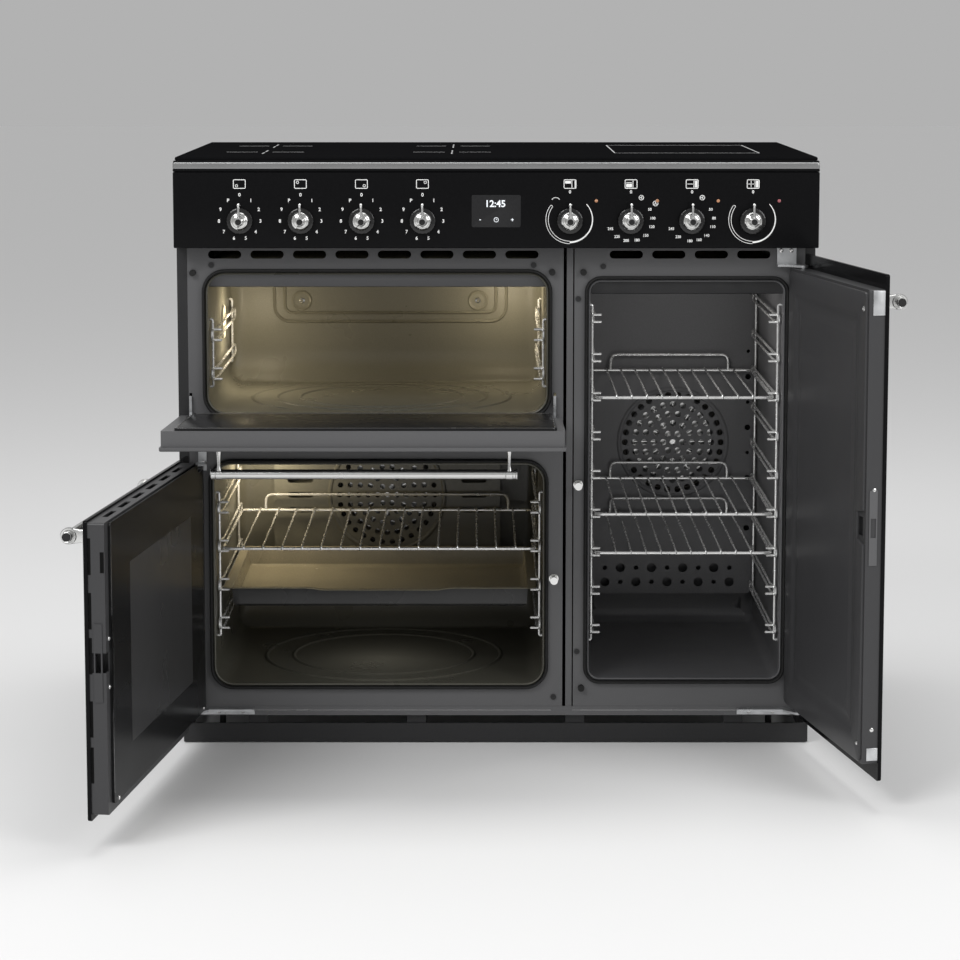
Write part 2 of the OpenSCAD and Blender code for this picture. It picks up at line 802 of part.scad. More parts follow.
module insulation() {
    color([0.85, 0.82, 0.7]) {
        for (o = ovens) difference() {
            slab_y(flange_y + liner_t + touch, wall_y(o) + liner_t + wool_t)
                mouth(o, liner_t + wool_t);
            slab_y(flange_y, wall_y(o) + liner_t + touch) mouth(o, liner_t + touch);
            back = wall_y(o) + wool_t + wool_past;
            if (o[5] == oven_d) {
                fan = o[0] == tall_cx ? tall_fan : main_fan;
                lamp = o[0] == tall_cx ? tall_lamp : main_lamp;
                leg_z = fan[1] + ring_r;
                rod_y(fan[0], wall_y(o), back, fan[1], wool_motor, 48);
                slab_y(wall_y(o), back)
                    rounded(fan[0] - wool_leg[0], leg_z - wool_leg[1],
                            fan[0] + wool_leg[0], leg_z + wool_leg[1], wool_tube);
                rod_y(lamp[0], wall_y(o), back, lamp[1], lamp_hole + wool_lamp, 48);
            }
            if (o[2] == grill_z) {
                slab_x(low_x(o) - wool_t - wool_past, low_x(o))
                    translate(grill_lamp) circle(lamp_hole + wool_lamp);
                for (x = element_legs) rod_y(x, wall_y(o), back, element_z, wool_tube, 48);
            }
        }
    }
}

module door_seals() {
    color([0.08, 0.08, 0.08]) for (o = ovens)
        slab_y(door_face + touch, flange_y) difference() {
            mouth(o, seal_out);
            mouth(o, seal_out - seal_w);
        }
}

// ---- side racks ----

// one rack: wires running front to back in pairs, held by upright wires
module rack(o, side, levels, guide, y_end) {
    wall = side < 0 ? low_x(o) : high_x(o);
    upright = wall - side * stand_off;
    rail = wall - side * rail_off;
    y0 = face_y + rack_front;
    z0 = levels[0] - rack_low;
    z1 = levels[len(levels) - 1] + guide + rack_ends;
    for (y = [y0 + rack_in, y_end - rack_in]) {
        rod_z(upright, y, z0, z1, rack_r);
        for (z = [z0 + rack_foot, z1 - rack_foot])
            rod_x(min(wall, upright), max(wall, upright), y, z, rack_r - eps / 2);
    }
    for (z = levels) {
        rod_y(rail, y0, y_end, z, rack_r);
        rod_y(rail, y0, y_end, z + guide, rack_r);
        rod_z(upright, y0 + rack_r, z, z + guide, rack_r - eps / 2);
    }
}

module side_racks() {
    color([0.8, 0.8, 0.8]) for (side = [-1, 1]) {
        rack(grill_oven, side, grill_levels, main_guide, wall_y(grill_oven) - grill_rack_gap);
        rack(main_oven, side, main_levels, main_guide, wall_y(main_oven) - cover_out - rack_gap);
        rack(tall_oven, side, tall_levels, tall_guide, wall_y(tall_oven) - cover_out - rack_gap);
    }
}

// ---- fan covers, fans and elements ----

module hole_rings(fan, rings, pitch, hole) {
    translate(fan) circle(hole, $fn = 24);
    for (k = [1:rings], i = [0:6 * k - 1])
        translate(fan + k * pitch * [cos(i * 60 / k), sin(i * 60 / k)]) circle(hole, $fn = 24);
}

// a tray-shaped cover standing off the oven's rear wall
module fan_cover(o, x0, z0, x1, z1) {
    y0 = wall_y(o) - cover_out;
    difference() {
        slab_y(y0, wall_y(o) - touch) rounded(x0, z0, x1, z1, cover_r);
        slab_y(y0 + cover_t, wall_y(o))
            rounded(x0 + cover_t, z0 + cover_t, x1 - cover_t, z1 - cover_t, cover_r - cover_t);
        slab_y(y0 - eps, y0 + cover_t + eps) children();
    }
}

module fan_cover_main() {
    color([0.3, 0.3, 0.26])
        fan_cover(main_oven, main_cover[0], main_cover[1], main_cover[2], main_cover[3]) {
            hole_rings(main_fan, hole_rings_n, hole_pitch, main_hole);
            for (x = [main_cover[0] + cover_slot_in, main_cover[2] - cover_slot_in], row = [-1:1])
                translate([x, main_fan[1] + row * cover_slot_row]) bar_slot(cover_slot_w, cover_slot_h);
        }
}

module fan_cover_tall() {
    edge_top = tall_cover[3] - edge_hole_top;
    edge_low = tall_fan[1] - edge_hole_low;
    foot_pitch = (tall_w - 2 * foot_hole_margin) / 8;
    color([0.14, 0.14, 0.15])
        fan_cover(tall_oven, tall_cover[0], tall_cover[1], tall_cover[2], tall_cover[3]) {
            hole_rings(tall_fan, hole_rings_n, hole_pitch, tall_hole);
            for (x = [tall_cover[0] + edge_hole_in, tall_cover[2] - edge_hole_in], k = [0, 1])
                for (z = [edge_low + k * edge_hole_pitch / 2:edge_hole_pitch:edge_top])
                    translate([x, z]) circle(edge_hole_r[k], $fn = 24);
            for (i = [0:8], row = [0, 1])
                translate([tall_cx + (i - 4) * foot_pitch,
                           tall_cover[1] + foot_hole_up + row * foot_hole_row])
                    circle(foot_hole_r[(i + row) % 2], $fn = 24);
        }
}

module wheel(o, fan) {
    disc_y = wall_y(o) - disc_front;
    rod_y(fan[0], wall_y(o) - wheel_front, wall_y(o) + wheel_back, fan[1], fan_shaft_r, 48);
    rod_y(fan[0], wall_y(o) - hub_front, wall_y(o) - hub_back, fan[1], fan_shaft_r + hub_wall, 48);
    rod_y(fan[0], disc_y, disc_y + disc_t, fan[1], fan_r, 64);
    for (i = [0:blade_n - 1])
        translate([fan[0], disc_y + eps - blade_w, fan[1]]) rotate([0, i * 360 / blade_n, 0])
            translate([fan_r * 0.45, 0, -blade_t / 2]) cube([fan_r * 0.52, blade_w, blade_t]);
}

module fan_main() {
    color([0.6, 0.6, 0.6]) wheel(main_oven, main_fan);
}

module fan_tall() {
    color([0.6, 0.6, 0.6]) wheel(tall_oven, tall_fan);
}

module ring_element(o, fan) {
    y = wall_y(o) - ring_front;
    translate([fan[0], y, fan[1]]) rotate([90, 0, 0])
        rotate_extrude($fn = 64) translate([ring_r, 0]) circle(tube_r, $fn = 24);
    for (side = [-1, 1])
        rod_y(fan[0] + side * leg_side, y, wall_y(o) + leg_back, fan[1] + leg_up, leg_r, 24);
}

// the grill's heating tube: straight runs joined by half-turns
module grill_tube() {
    y0 = face_y + tube_start;
    y1 = wall_y(grill_oven) - tube_end;
    for (i = [0:9])
        rod_y(grill_oven[0] + (i - 4.5) * element_run, y0 - weld,
              i % 9 == 0 ? wall_y(grill_oven) + tube_back : y1 + weld, element_z, tube_r, 24);
    for (i = [0:8])
        translate([grill_oven[0] + (i - 4) * element_run, i % 2 ? y1 : y0, element_z])
            rotate([0, 0, i % 2 ? 0 : 180]) rotate_extrude(angle = 180, $fn = 48)
                translate([element_run / 2, 0]) circle(tube_r - touch, $fn = 24);
    for (i = [-2.5, 2.5]) {
        x = grill_oven[0] + i * element_run;
        box([x - hanger_t / 2, y0 + hanger_in, element_z],
            [x + hanger_t / 2, y0 + hanger_in + hanger_t, top_of(grill_oven) - touch]);
    }
}

module heating_elements() {
    color([0.45, 0.42, 0.4]) {
        ring_element(main_oven, main_fan);
        ring_element(tall_oven, tall_fan);
        grill_tube();
    }
}

module motor(o, fan) {
    y0 = wall_y(o) + liner_t + touch;
    difference() {
        union() {
            rod_y(fan[0], y0, y0 + motor_h, fan[1], motor_r, 48);
            slab_y(y0, y0 + 2) translate(fan) square(motor_foot, center = true);
        }
        rod_y(fan[0], y0 - eps, y0 + motor_h - motor_cap, fan[1], fan_shaft_r + running, 48);
    }
}

module fan_motors() {
    color([0.7, 0.7, 0.72]) {
        motor(main_oven, main_fan);
        motor(tall_oven, tall_fan);
    }
}

// lamps: a holder through the wall and a glass cover inside the oven
module lamp_y(o, p) {
    rod_y(p[0], wall_y(o) - lens_out, wall_y(o) - touch, p[1], lamp_r - lens_in, 48);
    rod_y(p[0], wall_y(o) - weld, wall_y(o) + holder_l, p[1], lamp_hole - touch, 48);
}

module oven_lamps() {
    color([0.95, 0.9, 0.7]) {
        lamp_y(main_oven, main_lamp);
        lamp_y(tall_oven, tall_lamp);
        slab_x(low_x(grill_oven) + touch, low_x(grill_oven) + lamp_cover_t)
            translate(grill_lamp) circle(lamp_r);
        slab_x(low_x(grill_oven) - lamp_side_l, low_x(grill_oven) + weld)
            translate(grill_lamp) circle(lamp_hole - touch);
    }
}

// ---- hob and fascia ----

module hob_frame() {
    color([0.06, 0.06, 0.06]) difference() {
        box([-half_w, fascia_y, hob_z], [half_w, rear_y, glass_z]);
        box([-half_w + rim_w, fascia_y + rim_w, hob_z + rim_t],
            [half_w - rim_w, rear_y - rim_w, glass_z + 1]);
        for (x = [-board_x, board_x])
            box([x - board_half[0] + board_rest[0], board_y - board_half[1] + board_rest[1], hob_z - 1],
                [x + board_half[0] - board_rest[0], board_y + board_half[1] - board_rest[1],
                 hob_z + rim_t + 1]);
    }
}

module hob_glass() {
    i = hob_glass_inset;
    color([0.02, 0.02, 0.02]) translate([0, 0, glass_z])
        linear_extrude(hob_glass_t)
            rounded(-half_w + i, fascia_y + i, half_w - i, rear_y - i, glass_r);
}

module hob_modules() {
    color([0.72, 0.45, 0.3]) {
        for (c = coils)
            translate([c[0] * cooker_w / 1000, fascia_y + c[1] * cooker_d, glass_z - touch - coil_h])
                difference() {
                    cylinder(coil_h, c[2], c[2]);
                    translate([0, 0, -1]) cylinder(coil_h + 2, c[2] / 3, c[2] / 3);
                }
        for (x = [-board_x, board_x]) translate([x, board_y, 0]) difference() {
            box([-board_half[0], -board_half[1], hob_z - board_h],
                [board_half[0], board_half[1], hob_z - touch]);
            box([-board_half[0] + board_t, -board_half[1] + board_t, hob_z - board_h + board_t],
                [board_half[0] - board_t, board_half[1] - board_t, hob_z - touch - board_t]);
        }
    }
}

module control_panel() {
    color([0.03, 0.03, 0.03]) difference() {
        box([-half_w, fascia_y, fascia_z], [half_w, face_y - touch, top_z]);
        box([-half_w + fascia_fold, fascia_y + fascia_t, fascia_z + fascia_fold],
            [half_w - fascia_fold, face_y + 1, top_z - fascia_fold]);
        for (x = dial_x)
            rod_y(x, fascia_y - eps, fascia_y + fascia_t + eps, dial_z, shaft_hole, 48);
        for (p = lamp_spots)
            rod_y(p[0], fascia_y - eps, fascia_y + fascia_t + eps, p[1], lamp_jewel + touch, 48);
        box([-display_w / 2, fascia_y - eps, display_z],
            [display_w / 2, fascia_y + fascia_t + eps, display_z + display_h]);
    }
}

module display_module() {
    w = display_w / 2;
    y1 = fascia_y + fascia_t + touch;
    color([0.05, 0.05, 0.06]) {
        box([-w + touch, fascia_y + screen_back, display_z + touch],
            [w - touch, y1 + weld, display_z + display_h - touch]);
        box([-w - screen_edge, y1, display_z - screen_rim],
            [w + screen_edge, y1 + screen_d, display_z + display_h + screen_rim]);
    }
}

module indicator_lamps() {
    color([0.9, 0.5, 0.1]) for (p = lamp_spots) {
        rod_y(p[0], fascia_y - jewel_out, fascia_y + jewel_back, p[1], lamp_jewel, 24);
        rod_y(p[0], fascia_y + fascia_t + touch, fascia_y + jewel_back, p[1],
              lamp_jewel + jewel_rim, 24);
    }
}

module rotary_switches() {
    y0 = fascia_y + fascia_t + touch;
    color([0.75, 0.72, 0.62]) for (x = dial_x) difference() {
        rod_y(x, y0, y0 + switch_h, dial_z, switch_r, 48);
        rod_y(x, y0 - eps, y0 + switch_h - switch_cap, dial_z, shaft_r + running, 48);
    }
}

// ---- knobs ----

module knob(i) {
    y = fascia_y - touch;
    lever_y = -boss_out + lever_in;
    translate([dial_x[i], y, dial_z]) {
        color([0.05, 0.05, 0.05]) rod_y(0, -skirt_d, 0, 0, skirt_r, 48);
        color([0.85, 0.85, 0.85]) {
            translate([0, -skirt_d + eps, 0]) rotate([90, 0, 0])
                cylinder(disc_h + eps, disc_r, disc_r - disc_taper, $fn = 48);
            rod_y(0, -boss_out, -skirt_d, 0, boss_r, 48);
            box([-lever_w / 2, lever_y, 0], [lever_w / 2, lever_y + lever_t, lever_reach]);
            rod_y(0, lever_y - 1, lever_y + lever_t + 1, lever_reach, lever_w / 2 + ball_r, 24);
        }
        color([0.1, 0.1, 0.1]) rod_y(0, -boss_out - 1, -boss_out + 1, 0, boss_r - button_in, 48);
        color([0.6, 0.6, 0.6]) rod_y(0, -weld, fascia_t + shaft_back, 0, shaft_r, 48);
    }
}

// ---- small front pieces ----

module latch(p) {
    translate([p[0], 0, p[1]]) {
        rod_y(0, face_y - latch_out + 2, face_y + frame_t + stud_back, 0, latch_stem, 24);
        rod_y(0, face_y - latch_out, face_y - latch_out + head_t, 0, latch_r, 48);
        rod_y(0, face_y - collar_t, face_y - touch, 0, latch_r + collar_out, 48);
    }
}

module latch_studs() {
    color([0.8, 0.8, 0.8]) {
        latch(main_latch);
        latch(tall_latch);
    }
}

module door_bumpers() {
    color([0.05, 0.05, 0.05]) for (p = bumper_at)
        rod_y(p[0], door_face + bumper_gap, face_y - touch / 3, p[1], bumper_r, 24);
}

module frame_screws() {
    color([0.3, 0.3, 0.3]) for (p = screw_at) difference() {
        rod_y(p[0], face_y - screw_head_t, face_y - touch / 3, p[1], screw_r, 24);
        box([p[0] - screw_slot[0] / 2, face_y - screw_head_t - 1, p[1] - screw_slot[1] / 2],
            [p[0] + screw_slot[0] / 2, face_y - screw_head_t + screw_slot[2],
             p[1] + screw_slot[1] / 2]);
    }
}

// ---- hinges on the cabinet ----

// a strap lying flat beside a pin, with a leaf against the front frame;
// turn is 1 on the left and -1 on the right, up is 1 where the pin rises
module strap(pin, z, turn, up, length, leaf_low, leaf_high) {
    pin_low = up > 0 ? z : z + strap_t - bush_h - pin_over;
    translate([pin[0], pin[1], 0]) mirror([turn > 0 ? 0 : 1, 0, 0]) {
        translate([0, 0, z]) linear_extrude(strap_t) {
            circle(eye_strap_r);
            polygon([[-4.9, 5], [4.9, -5], [22, 12], [22, face_y - touch], [leaf_in, face_y - touch]]);
            translate([leaf_in, face_y - leaf_deep]) square([length - leaf_in, leaf_deep - touch]);
        }
        box([leaf_in, face_y - leaf_t, leaf_low], [length, face_y - touch, leaf_high]);
        rod_z(0, 0, pin_low, pin_low + bush_h + pin_over, pin_r, 48);
    }
}

// a grill hinge arm: a plate standing out to the pivot, and its pin
module grill_arm(x) {
    tail = pivot_out + frame_t + arm_tail;
    slab_x(x - arm_t / 2, x + arm_t / 2) translate(pivot) difference() {
        union() {
            circle(arm_eye_r);
            polygon([[0, -arm_low], [tail, -arm_low], [tail, arm_high],
                     [pivot_out - arm_step, arm_high + 2], [pivot_out - arm_step, arm_bend],
                     [-3, arm_low]]);
        }
        circle(arm_pin_r + running);
    }
}

module hinge_brackets() {
    color([0.72, 0.73, 0.74]) {
        strap(main_pin, strap_z, 1, 1, strap_l, base_z + 2, notch_z - leaf_t);
        strap(tall_pin, strap_z, -1, 1, strap_l, base_z + 2, notch_z - leaf_t);
        strap(main_pin, main_strap_z, 1, -1, main_top_strap_l, main_strap_z - 10, main_strap_z + 24);
        strap(tall_pin, tall_strap_z, -1, -1, tall_top_strap_l, tall_strap_z, frame_top - 1);
        for (x = grill_arm_x) grill_arm(x);
    }
}

// ---- doors ----

module swing_main() {
    translate([main_pin[0], main_pin[1], 0]) rotate([0, 0, -main_open])
        translate([-main_pin[0], -main_pin[1], 0]) children();
}

module swing_tall() {
    translate([tall_pin[0], tall_pin[1], 0]) rotate([0, 0, tall_open])
        translate([-tall_pin[0], -tall_pin[1], 0]) children();
}

module swing_grill() {
    translate([0, pivot[0], pivot[1]]) rotate([grill_open, 0, 0])
        translate([0, -pivot[0], -pivot[1]]) children();
}

// a bar along X on two posts, each with an eye round the bar
module bar_handle(x0, x1, z, standoff, eye) {
    y1 = door_front - touch / 3;
    y0 = door_front - standoff;
    half = eye - post_round;
    rod_x(x0, x1, y0, z, bar_r, 48);
    for (x = [x0 + post_in, x1 - post_in]) {
        box([x - post_w / 2, y0, z - half], [x + post_w / 2, y1, z + half]);
        rod_x(x - post_w / 2, x + post_w / 2, y0, z, eye, 48);
    }
}

module grill_door_skin() {
    color([0.05, 0.05, 0.05]) swing_grill()
        slab_y(door_front, skin_back)
            rounded(left_edge, pivot_z - grill_skirt, left_free, door_top, skin_r);
}

// the hollow inside a core's folded frame, round a window cut through it
module core_hollow(x0, z0, x1, z1) {
    slab_y(skin_back + touch / 3 + core_t, core_back - core_t) difference() {
        rounded(x0 + core_t, z0 + core_t, x1 - core_t, z1 - core_t, core_t);
        children();
    }
}

module grill_door_core() {
    arm_gap = arm_t / 2 + 1.2;
    arm_wall = arm_gap + 2 * core_t;
    color([0.27, 0.27, 0.28]) swing_grill() difference() {
        slab_y(skin_back + touch / 3, core_back)
            rounded(left_edge + core_in, grill_core_low, left_free - core_in, grill_core_top, core_r);
        box([low_x(grill_oven), skin_back - 1, grill_z + grill_window_in],
            [high_x(grill_oven), core_back + 1, top_of(grill_oven) - grill_window_in]);
        for (x = grill_arm_x)
            box([x - arm_gap, skin_back - 1, grill_core_low - 1],
                [x + arm_gap, core_back + 1, pivot_z + arm_room]);
        core_hollow(left_edge + core_in, grill_core_low, left_free - core_in, grill_core_top) {
            translate([low_x(grill_oven) - core_t, grill_z + grill_window_in - core_t])
                square([grill_w + 2 * core_t, grill_h - 2 * (grill_window_in - core_t)]);
            for (x = grill_arm_x) translate([x - arm_wall, grill_core_low])
                square([2 * arm_wall, pivot_z + arm_room + core_t - grill_core_low]);
        }
    }
    color([0.7, 0.7, 0.7]) swing_grill() for (x = grill_arm_x)
        rod_x(x - arm_gap - weld, x + arm_gap + weld, pivot[0], pivot[1], arm_pin_r, 48);
}

module grill_door_glass() {
    color([0.06, 0.06, 0.06]) swing_grill()
        slab_y(core_back + touch / 3, door_face)
            rounded(grill_arm_x[0] + arm_t, grill_pane_low, grill_arm_x[1] - arm_t,
                    grill_core_top - grill_window_in, pane_r);
}

module grill_door_handle() {
    color([0.75, 0.75, 0.75]) swing_grill()
        bar_handle(left_edge + handle_in, left_free - handle_in, door_top - handle_drop,
                   grill_standoff, bar_r - touch);
}

// a side door's core: a frame with notches for the lower and upper straps
module side_core(x0, x1, z0, z1, pin, turn, latch_p, top_notch) {
    notch_x = pin[0] + turn * notch_l;
    top_notch_x = pin[0] + turn * top_notch_l;
    edge_x = pin[0] - turn * notch_back;
    difference() {
        slab_y(skin_back + touch / 3, core_back) rounded(x0, z0, x1, z1, core_r);
        box([min(notch_x, edge_x), skin_back, core_low - 1],
            [max(notch_x, edge_x), core_back + 1, notch_z]);
        if (top_notch)
            box([min(top_notch_x, edge_x), skin_back, main_strap_z - 1.5],
                [max(top_notch_x, edge_x), core_back + 1, z1 + 1]);
        for (z = [notch_z - eps, (top_notch ? main_strap_z - 1.5 : z1) - bush_h - touch])
            rod_z(pin[0], pin[1], z, z + bush_h + touch + eps, bush_r + touch, 48);
        box([latch_p[0] - latch_cut[0], skin_back + core_t, latch_p[1] - latch_cut[1]],
            [latch_p[0] + latch_cut[0], core_back + 1, latch_p[1] + latch_cut[1]]);
        slab_y(skin_back - 1, core_back + 1)
            rounded(x0 + door_rim, z0 + door_rim, x1 - door_rim, z1 - door_rim, core_window_r);
        core_hollow(x0, z0, x1, z1) {
            inner = door_rim - core_t;
            rounded(x0 + inner, z0 + inner, x1 - inner, z1 - inner, core_window_r + core_t);
            for (z = [notch_z, z1 - 2 * bush_h])
                translate([pin[0] - bush_r - 2 * core_t, z])
                    square([2 * bush_r + 4 * core_t, 2 * bush_h]);
        }
    }
}

module main_door_skin() {
    color([0.05, 0.05, 0.05]) swing_main()
        slab_y(door_front, skin_back)
            rounded(left_edge, door_z, left_free, main_door_top, skin_r);
}

module main_door_core() {
    color([0.2, 0.2, 0.21]) swing_main() difference() {
        side_core(left_edge + core_in, left_free - core_in, core_low, main_core_top,
                  main_pin, 1, main_latch, true);
        for (i = [0:5])
            box([left_edge + 100 + i * 80, skin_back + 8, main_core_top - 6],
                [left_edge + 150 + i * 80, skin_back + 16, main_core_top + 1]);
    }
}

module main_door_glass() {
    color([0.04, 0.04, 0.04]) swing_main()
        slab_y(core_back + touch / 3, door_face) difference() {
            rounded(left_edge + 24, notch_z + 3, main_latch[0] - 9.5, main_core_top - 2.5, pane_r);
            translate([left_edge, main_strap_z - 4]) square([pin_inset + 38, 20]);
        }
}

module main_door_handle() {
    color([0.75, 0.75, 0.75]) swing_main()
        bar_handle(left_edge + handle_in, left_free - handle_in,
                   main_door_top - main_handle_drop, side_standoff, eye_r);
}

module fittings(pin, z_high, latch_p, free_x, turn) {
    difference() {
        for (z = [notch_z + 0.2, z_high - bush_h - 0.2])
            rod_z(pin[0], pin[1], z, z + bush_h, bush_r, 48);
        rod_z(pin[0], pin[1], notch_z - 5, z_high + 5, pin_r + running, 48);
    }
    plate_x = turn > 0 ? free_x - core_in + touch / 3 : free_x + core_in - plate_t - touch / 3;
    difference() {
        box([plate_x, skin_back + 7, latch_p[1] - plate_half],
            [plate_x + plate_t, core_back - 5, latch_p[1] + plate_half]);
        box([plate_x - 1, skin_back + 9, latch_p[1] - latch_cut[1]],
            [plate_x + plate_t + 1, core_back - 7, latch_p[1] + latch_cut[1]]);
    }
}

module main_door_fittings() {
    color([0.75, 0.75, 0.76]) swing_main()
        fittings(main_pin, main_strap_z - 1.5, main_latch, left_free, 1);
}

module tall_door_skin() {
    color([0.05, 0.05, 0.05]) swing_tall()
        slab_y(door_front, skin_back)
            rounded(tall_free, door_z, right_edge, door_top, skin_r);
}

module tall_door_core() {
    color([0.2, 0.2, 0.21]) swing_tall()
        side_core(tall_free + core_in, right_edge - core_in, tall_core_low, tall_core_top,
                  tall_pin, -1, tall_latch, false);
}

module tall_door_liner() {
    x0 = tall_free + pane_in;
    x1 = right_edge - pane_in;
    z0 = tall_core_low + 3;
    z1 = tall_core_top - 4;
    inner = groove_in + groove_w;
    color([0.24, 0.24, 0.25]) swing_tall() difference() {
        slab_y(core_back + touch / 3, door_face) rounded(x0, z0, x1, z1, 8);
        slab_y(door_face - groove_t, door_face + 1) difference() {
            rounded(x0 + groove_in, z0 + groove_in + 2, x1 - groove_in, z1 - groove_in - 2, 18);
            rounded(x0 + inner, z0 + inner + 2, x1 - inner, z1 - inner - 2, 14);
        }
        box([tall_latch[0] - 9, core_back - 1, tall_latch[1] - latch_cut[1]],
            [tall_latch[0] + 9, door_face + 1, tall_latch[1] + latch_cut[1]]);
    }
}

module tall_door_handle() {
    color([0.75, 0.75, 0.75]) swing_tall()
        bar_handle(tall_free + handle_in, right_edge - handle_in, door_top - handle_drop,
                   side_standoff, eye_r);
}

module tall_door_fittings() {
    color([0.75, 0.75, 0.76]) swing_tall()
        fittings(tall_pin, tall_core_top, tall_latch, tall_free, -1);
}

// ---- shelves and tray ----

// a wire shelf whose side wires ride on the rack's lower wires at level z
module shelf(o, z, wires) {
    x0 = low_x(o) + shelf_in;
    x1 = high_x(o) - shelf_in;
    zc = z + shelf_rest;
    y0 = shelf_y0;
    y1 = shelf_y1;
    g0 = x0 + guard_in;
    g1 = x1 - guard_in;
    guard_y = y1 - shelf_r;
    guard_low = zc + shelf_r + touch / 3;
    for (x = [x0, x1]) rod_y(x, y0, y1, zc, shelf_r);
    for (y = [y0 + shelf_r, (y0 + y1) / 2, guard_y]) rod_x(x0, x1, y, zc, shelf_r - 0.1);
    for (i = [0:wires - 1])
        rod_y(x0 + wire_edge + i * (x1 - x0 - 2 * wire_edge) / (wires - 1), y0 + 1,
              y1 - 1, zc + shelf_r + thin_r - eps, thin_r);
    // the guard's posts and rail rest on the frame as pieces of their own
    for (x = [g0, g1]) rod_z(x, guard_y, guard_low, zc + guard_h - shelf_r, shelf_r - 0.2);
    rod_x(g0 - shelf_r, g1 + shelf_r, guard_y, zc + guard_h + touch / 3, shelf_r);
}

module shelf_main() {
    color([0.8, 0.8, 0.8]) shelf(main_oven, main_levels[2], 15);
}

module tray_main() {
    o = main_oven;
    x0 = low_x(o) + shelf_in - 1;
    x1 = high_x(o) - shelf_in + 1;
    z = main_levels[1] + rack_r + touch;
    y0 = shelf_y0;
    y1 = shelf_y1;
    inner = tray_rim + tray_t;
    color([0.12, 0.12, 0.12]) difference() {
        union() {
            translate([0, 0, z]) linear_extrude(tray_t) rounded(x0, y0, x1, y1, 12);
            translate([0, 0, z - tray_deep]) linear_extrude(tray_deep + weld)
                rounded(x0 + tray_rim, y0 + tray_rim, x1 - tray_rim, y1 - tray_rim, tray_r);
        }
        translate([0, 0, z - tray_deep + tray_t]) linear_extrude(tray_deep + 2)
            rounded(x0 + inner, y0 + inner, x1 - inner, y1 - inner, tray_r - tray_t);
    }
}

module shelf_tall(level) {
    color([0.8, 0.8, 0.8]) shelf(tall_oven, tall_levels[level], 10);
}

// ---- the nodes ----

side_panels();
back_panel();
base_tray();
feet();
plinth();
centre_post();
front_frame_left();
front_frame_right();
cavity_grill();
cavity_main();
cavity_tall();
insulation();
door_seals();
side_racks();
fan_cover_main();
fan_cover_tall();
heating_elements();
fan_motors();
oven_lamps();
hob_frame();
hob_glass();
hob_modules();
control_panel();
display_module();
indicator_lamps();
rotary_switches();
latch_studs();
door_bumpers();
frame_screws();
hinge_brackets();
terminal_block();
grill_door_skin();
grill_door_core();
grill_door_glass();
grill_door_handle();
main_door_skin();
main_door_core();
main_door_glass();
main_door_handle();
main_door_fittings();
tall_door_skin();
tall_door_core();
tall_door_liner();
tall_door_handle();
tall_door_fittings();
knob(0);  // knob_1
knob(1);  // knob_2
knob(2);  // knob_3
knob(3);  // knob_4
knob(4);  // knob_5
knob(5);  // knob_6
knob(6);  // knob_7
knob(7);  // knob_8
fan_main();
fan_tall();
shelf_main();
tray_main();
shelf_tall(len(tall_levels) - 3);  // shelf_tall_1
shelf_tall(3);  // shelf_tall_2
shelf_tall(2);  // shelf_tall_3
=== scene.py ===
"""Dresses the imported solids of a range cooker: enamelled oven liners, wire racks and shelves,
door panels, bar handles, dials, printed marks and procedural finishes, in a plain pale studio.

Sizes in the code are in millimetres in the frame of the solids, and become metres in put().
The doors are drawn closed and then swung to where they rest."""

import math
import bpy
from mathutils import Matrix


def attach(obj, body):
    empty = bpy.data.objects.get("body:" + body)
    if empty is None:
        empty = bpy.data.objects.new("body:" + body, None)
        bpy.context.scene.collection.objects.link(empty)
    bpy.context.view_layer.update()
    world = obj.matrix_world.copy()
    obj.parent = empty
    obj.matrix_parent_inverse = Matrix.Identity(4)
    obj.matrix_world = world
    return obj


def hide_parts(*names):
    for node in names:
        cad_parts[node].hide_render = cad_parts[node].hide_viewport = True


bl_info = {
    "name": "Range Cooker Dressing",
    "version": (1, 0, 0),
    "blender": (4, 5, 0),
    "location": "3D View > Sidebar > Cooker",
    "description": "Builds the visible surfaces and finishes of a range cooker around its solids",
    "category": "Object",
}

import bmesh
import bpy
import numpy as np
from bpy.props import FloatProperty, FloatVectorProperty, PointerProperty

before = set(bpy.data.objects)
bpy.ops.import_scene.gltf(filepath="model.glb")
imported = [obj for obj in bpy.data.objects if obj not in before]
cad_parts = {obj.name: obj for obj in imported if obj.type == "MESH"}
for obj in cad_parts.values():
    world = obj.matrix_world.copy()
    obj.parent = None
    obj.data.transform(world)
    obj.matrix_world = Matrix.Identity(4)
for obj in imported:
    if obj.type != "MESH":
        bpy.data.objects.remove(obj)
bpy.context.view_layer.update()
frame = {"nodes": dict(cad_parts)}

MM = 0.001
HALF_W, REAR_Y = 500.0, 584.0
FACE_Y = 29.0          # face of the front frames
FASCIA_Y = -16.0       # face of the control panel
FASCIA_Z = (796.7, 914.7)
RIM_LOW, GLASS_LOW, TOP_Z = 915.2, 932.0, 938.0    # the hob's frame and its glass
ZONES = ((-370, 165), (-370, 405), (-70, 165), (-70, 405))    # middles of the marked crosses
CROSS_ARMS = ((-62, -12), (12, 62))
LARGE_ZONE = ((190, 130), (420, 130), (420, 440), (190, 440))
# doors: their edges, the depths of their layers, and their handles
LEFT_EDGE, LEFT_FREE, TALL_FREE, RIGHT_EDGE = -498.0, 103.0, 106.0, 498.0
DOOR_LOW, MAIN_TOP, GRILL_LOW, DOOR_TOP = 44.0, 466.5, 487.0, 786.0
DOOR_FRONT, SKIN_BACK, CORE_BACK, DOOR_FACE = -14.0, -8.0, 16.0, 20.0
BAR_R, EYE_R, SIDE_STANDOFF, GRILL_STANDOFF = 7.5, 12.0, 43.0, 38.0
HANDLE_IN, POST_IN, HANDLE_DROP, MAIN_HANDLE_DROP = 71.5, 13.0, 48.0, 37.0
TALL_LATCH = (130.0, 419.0)
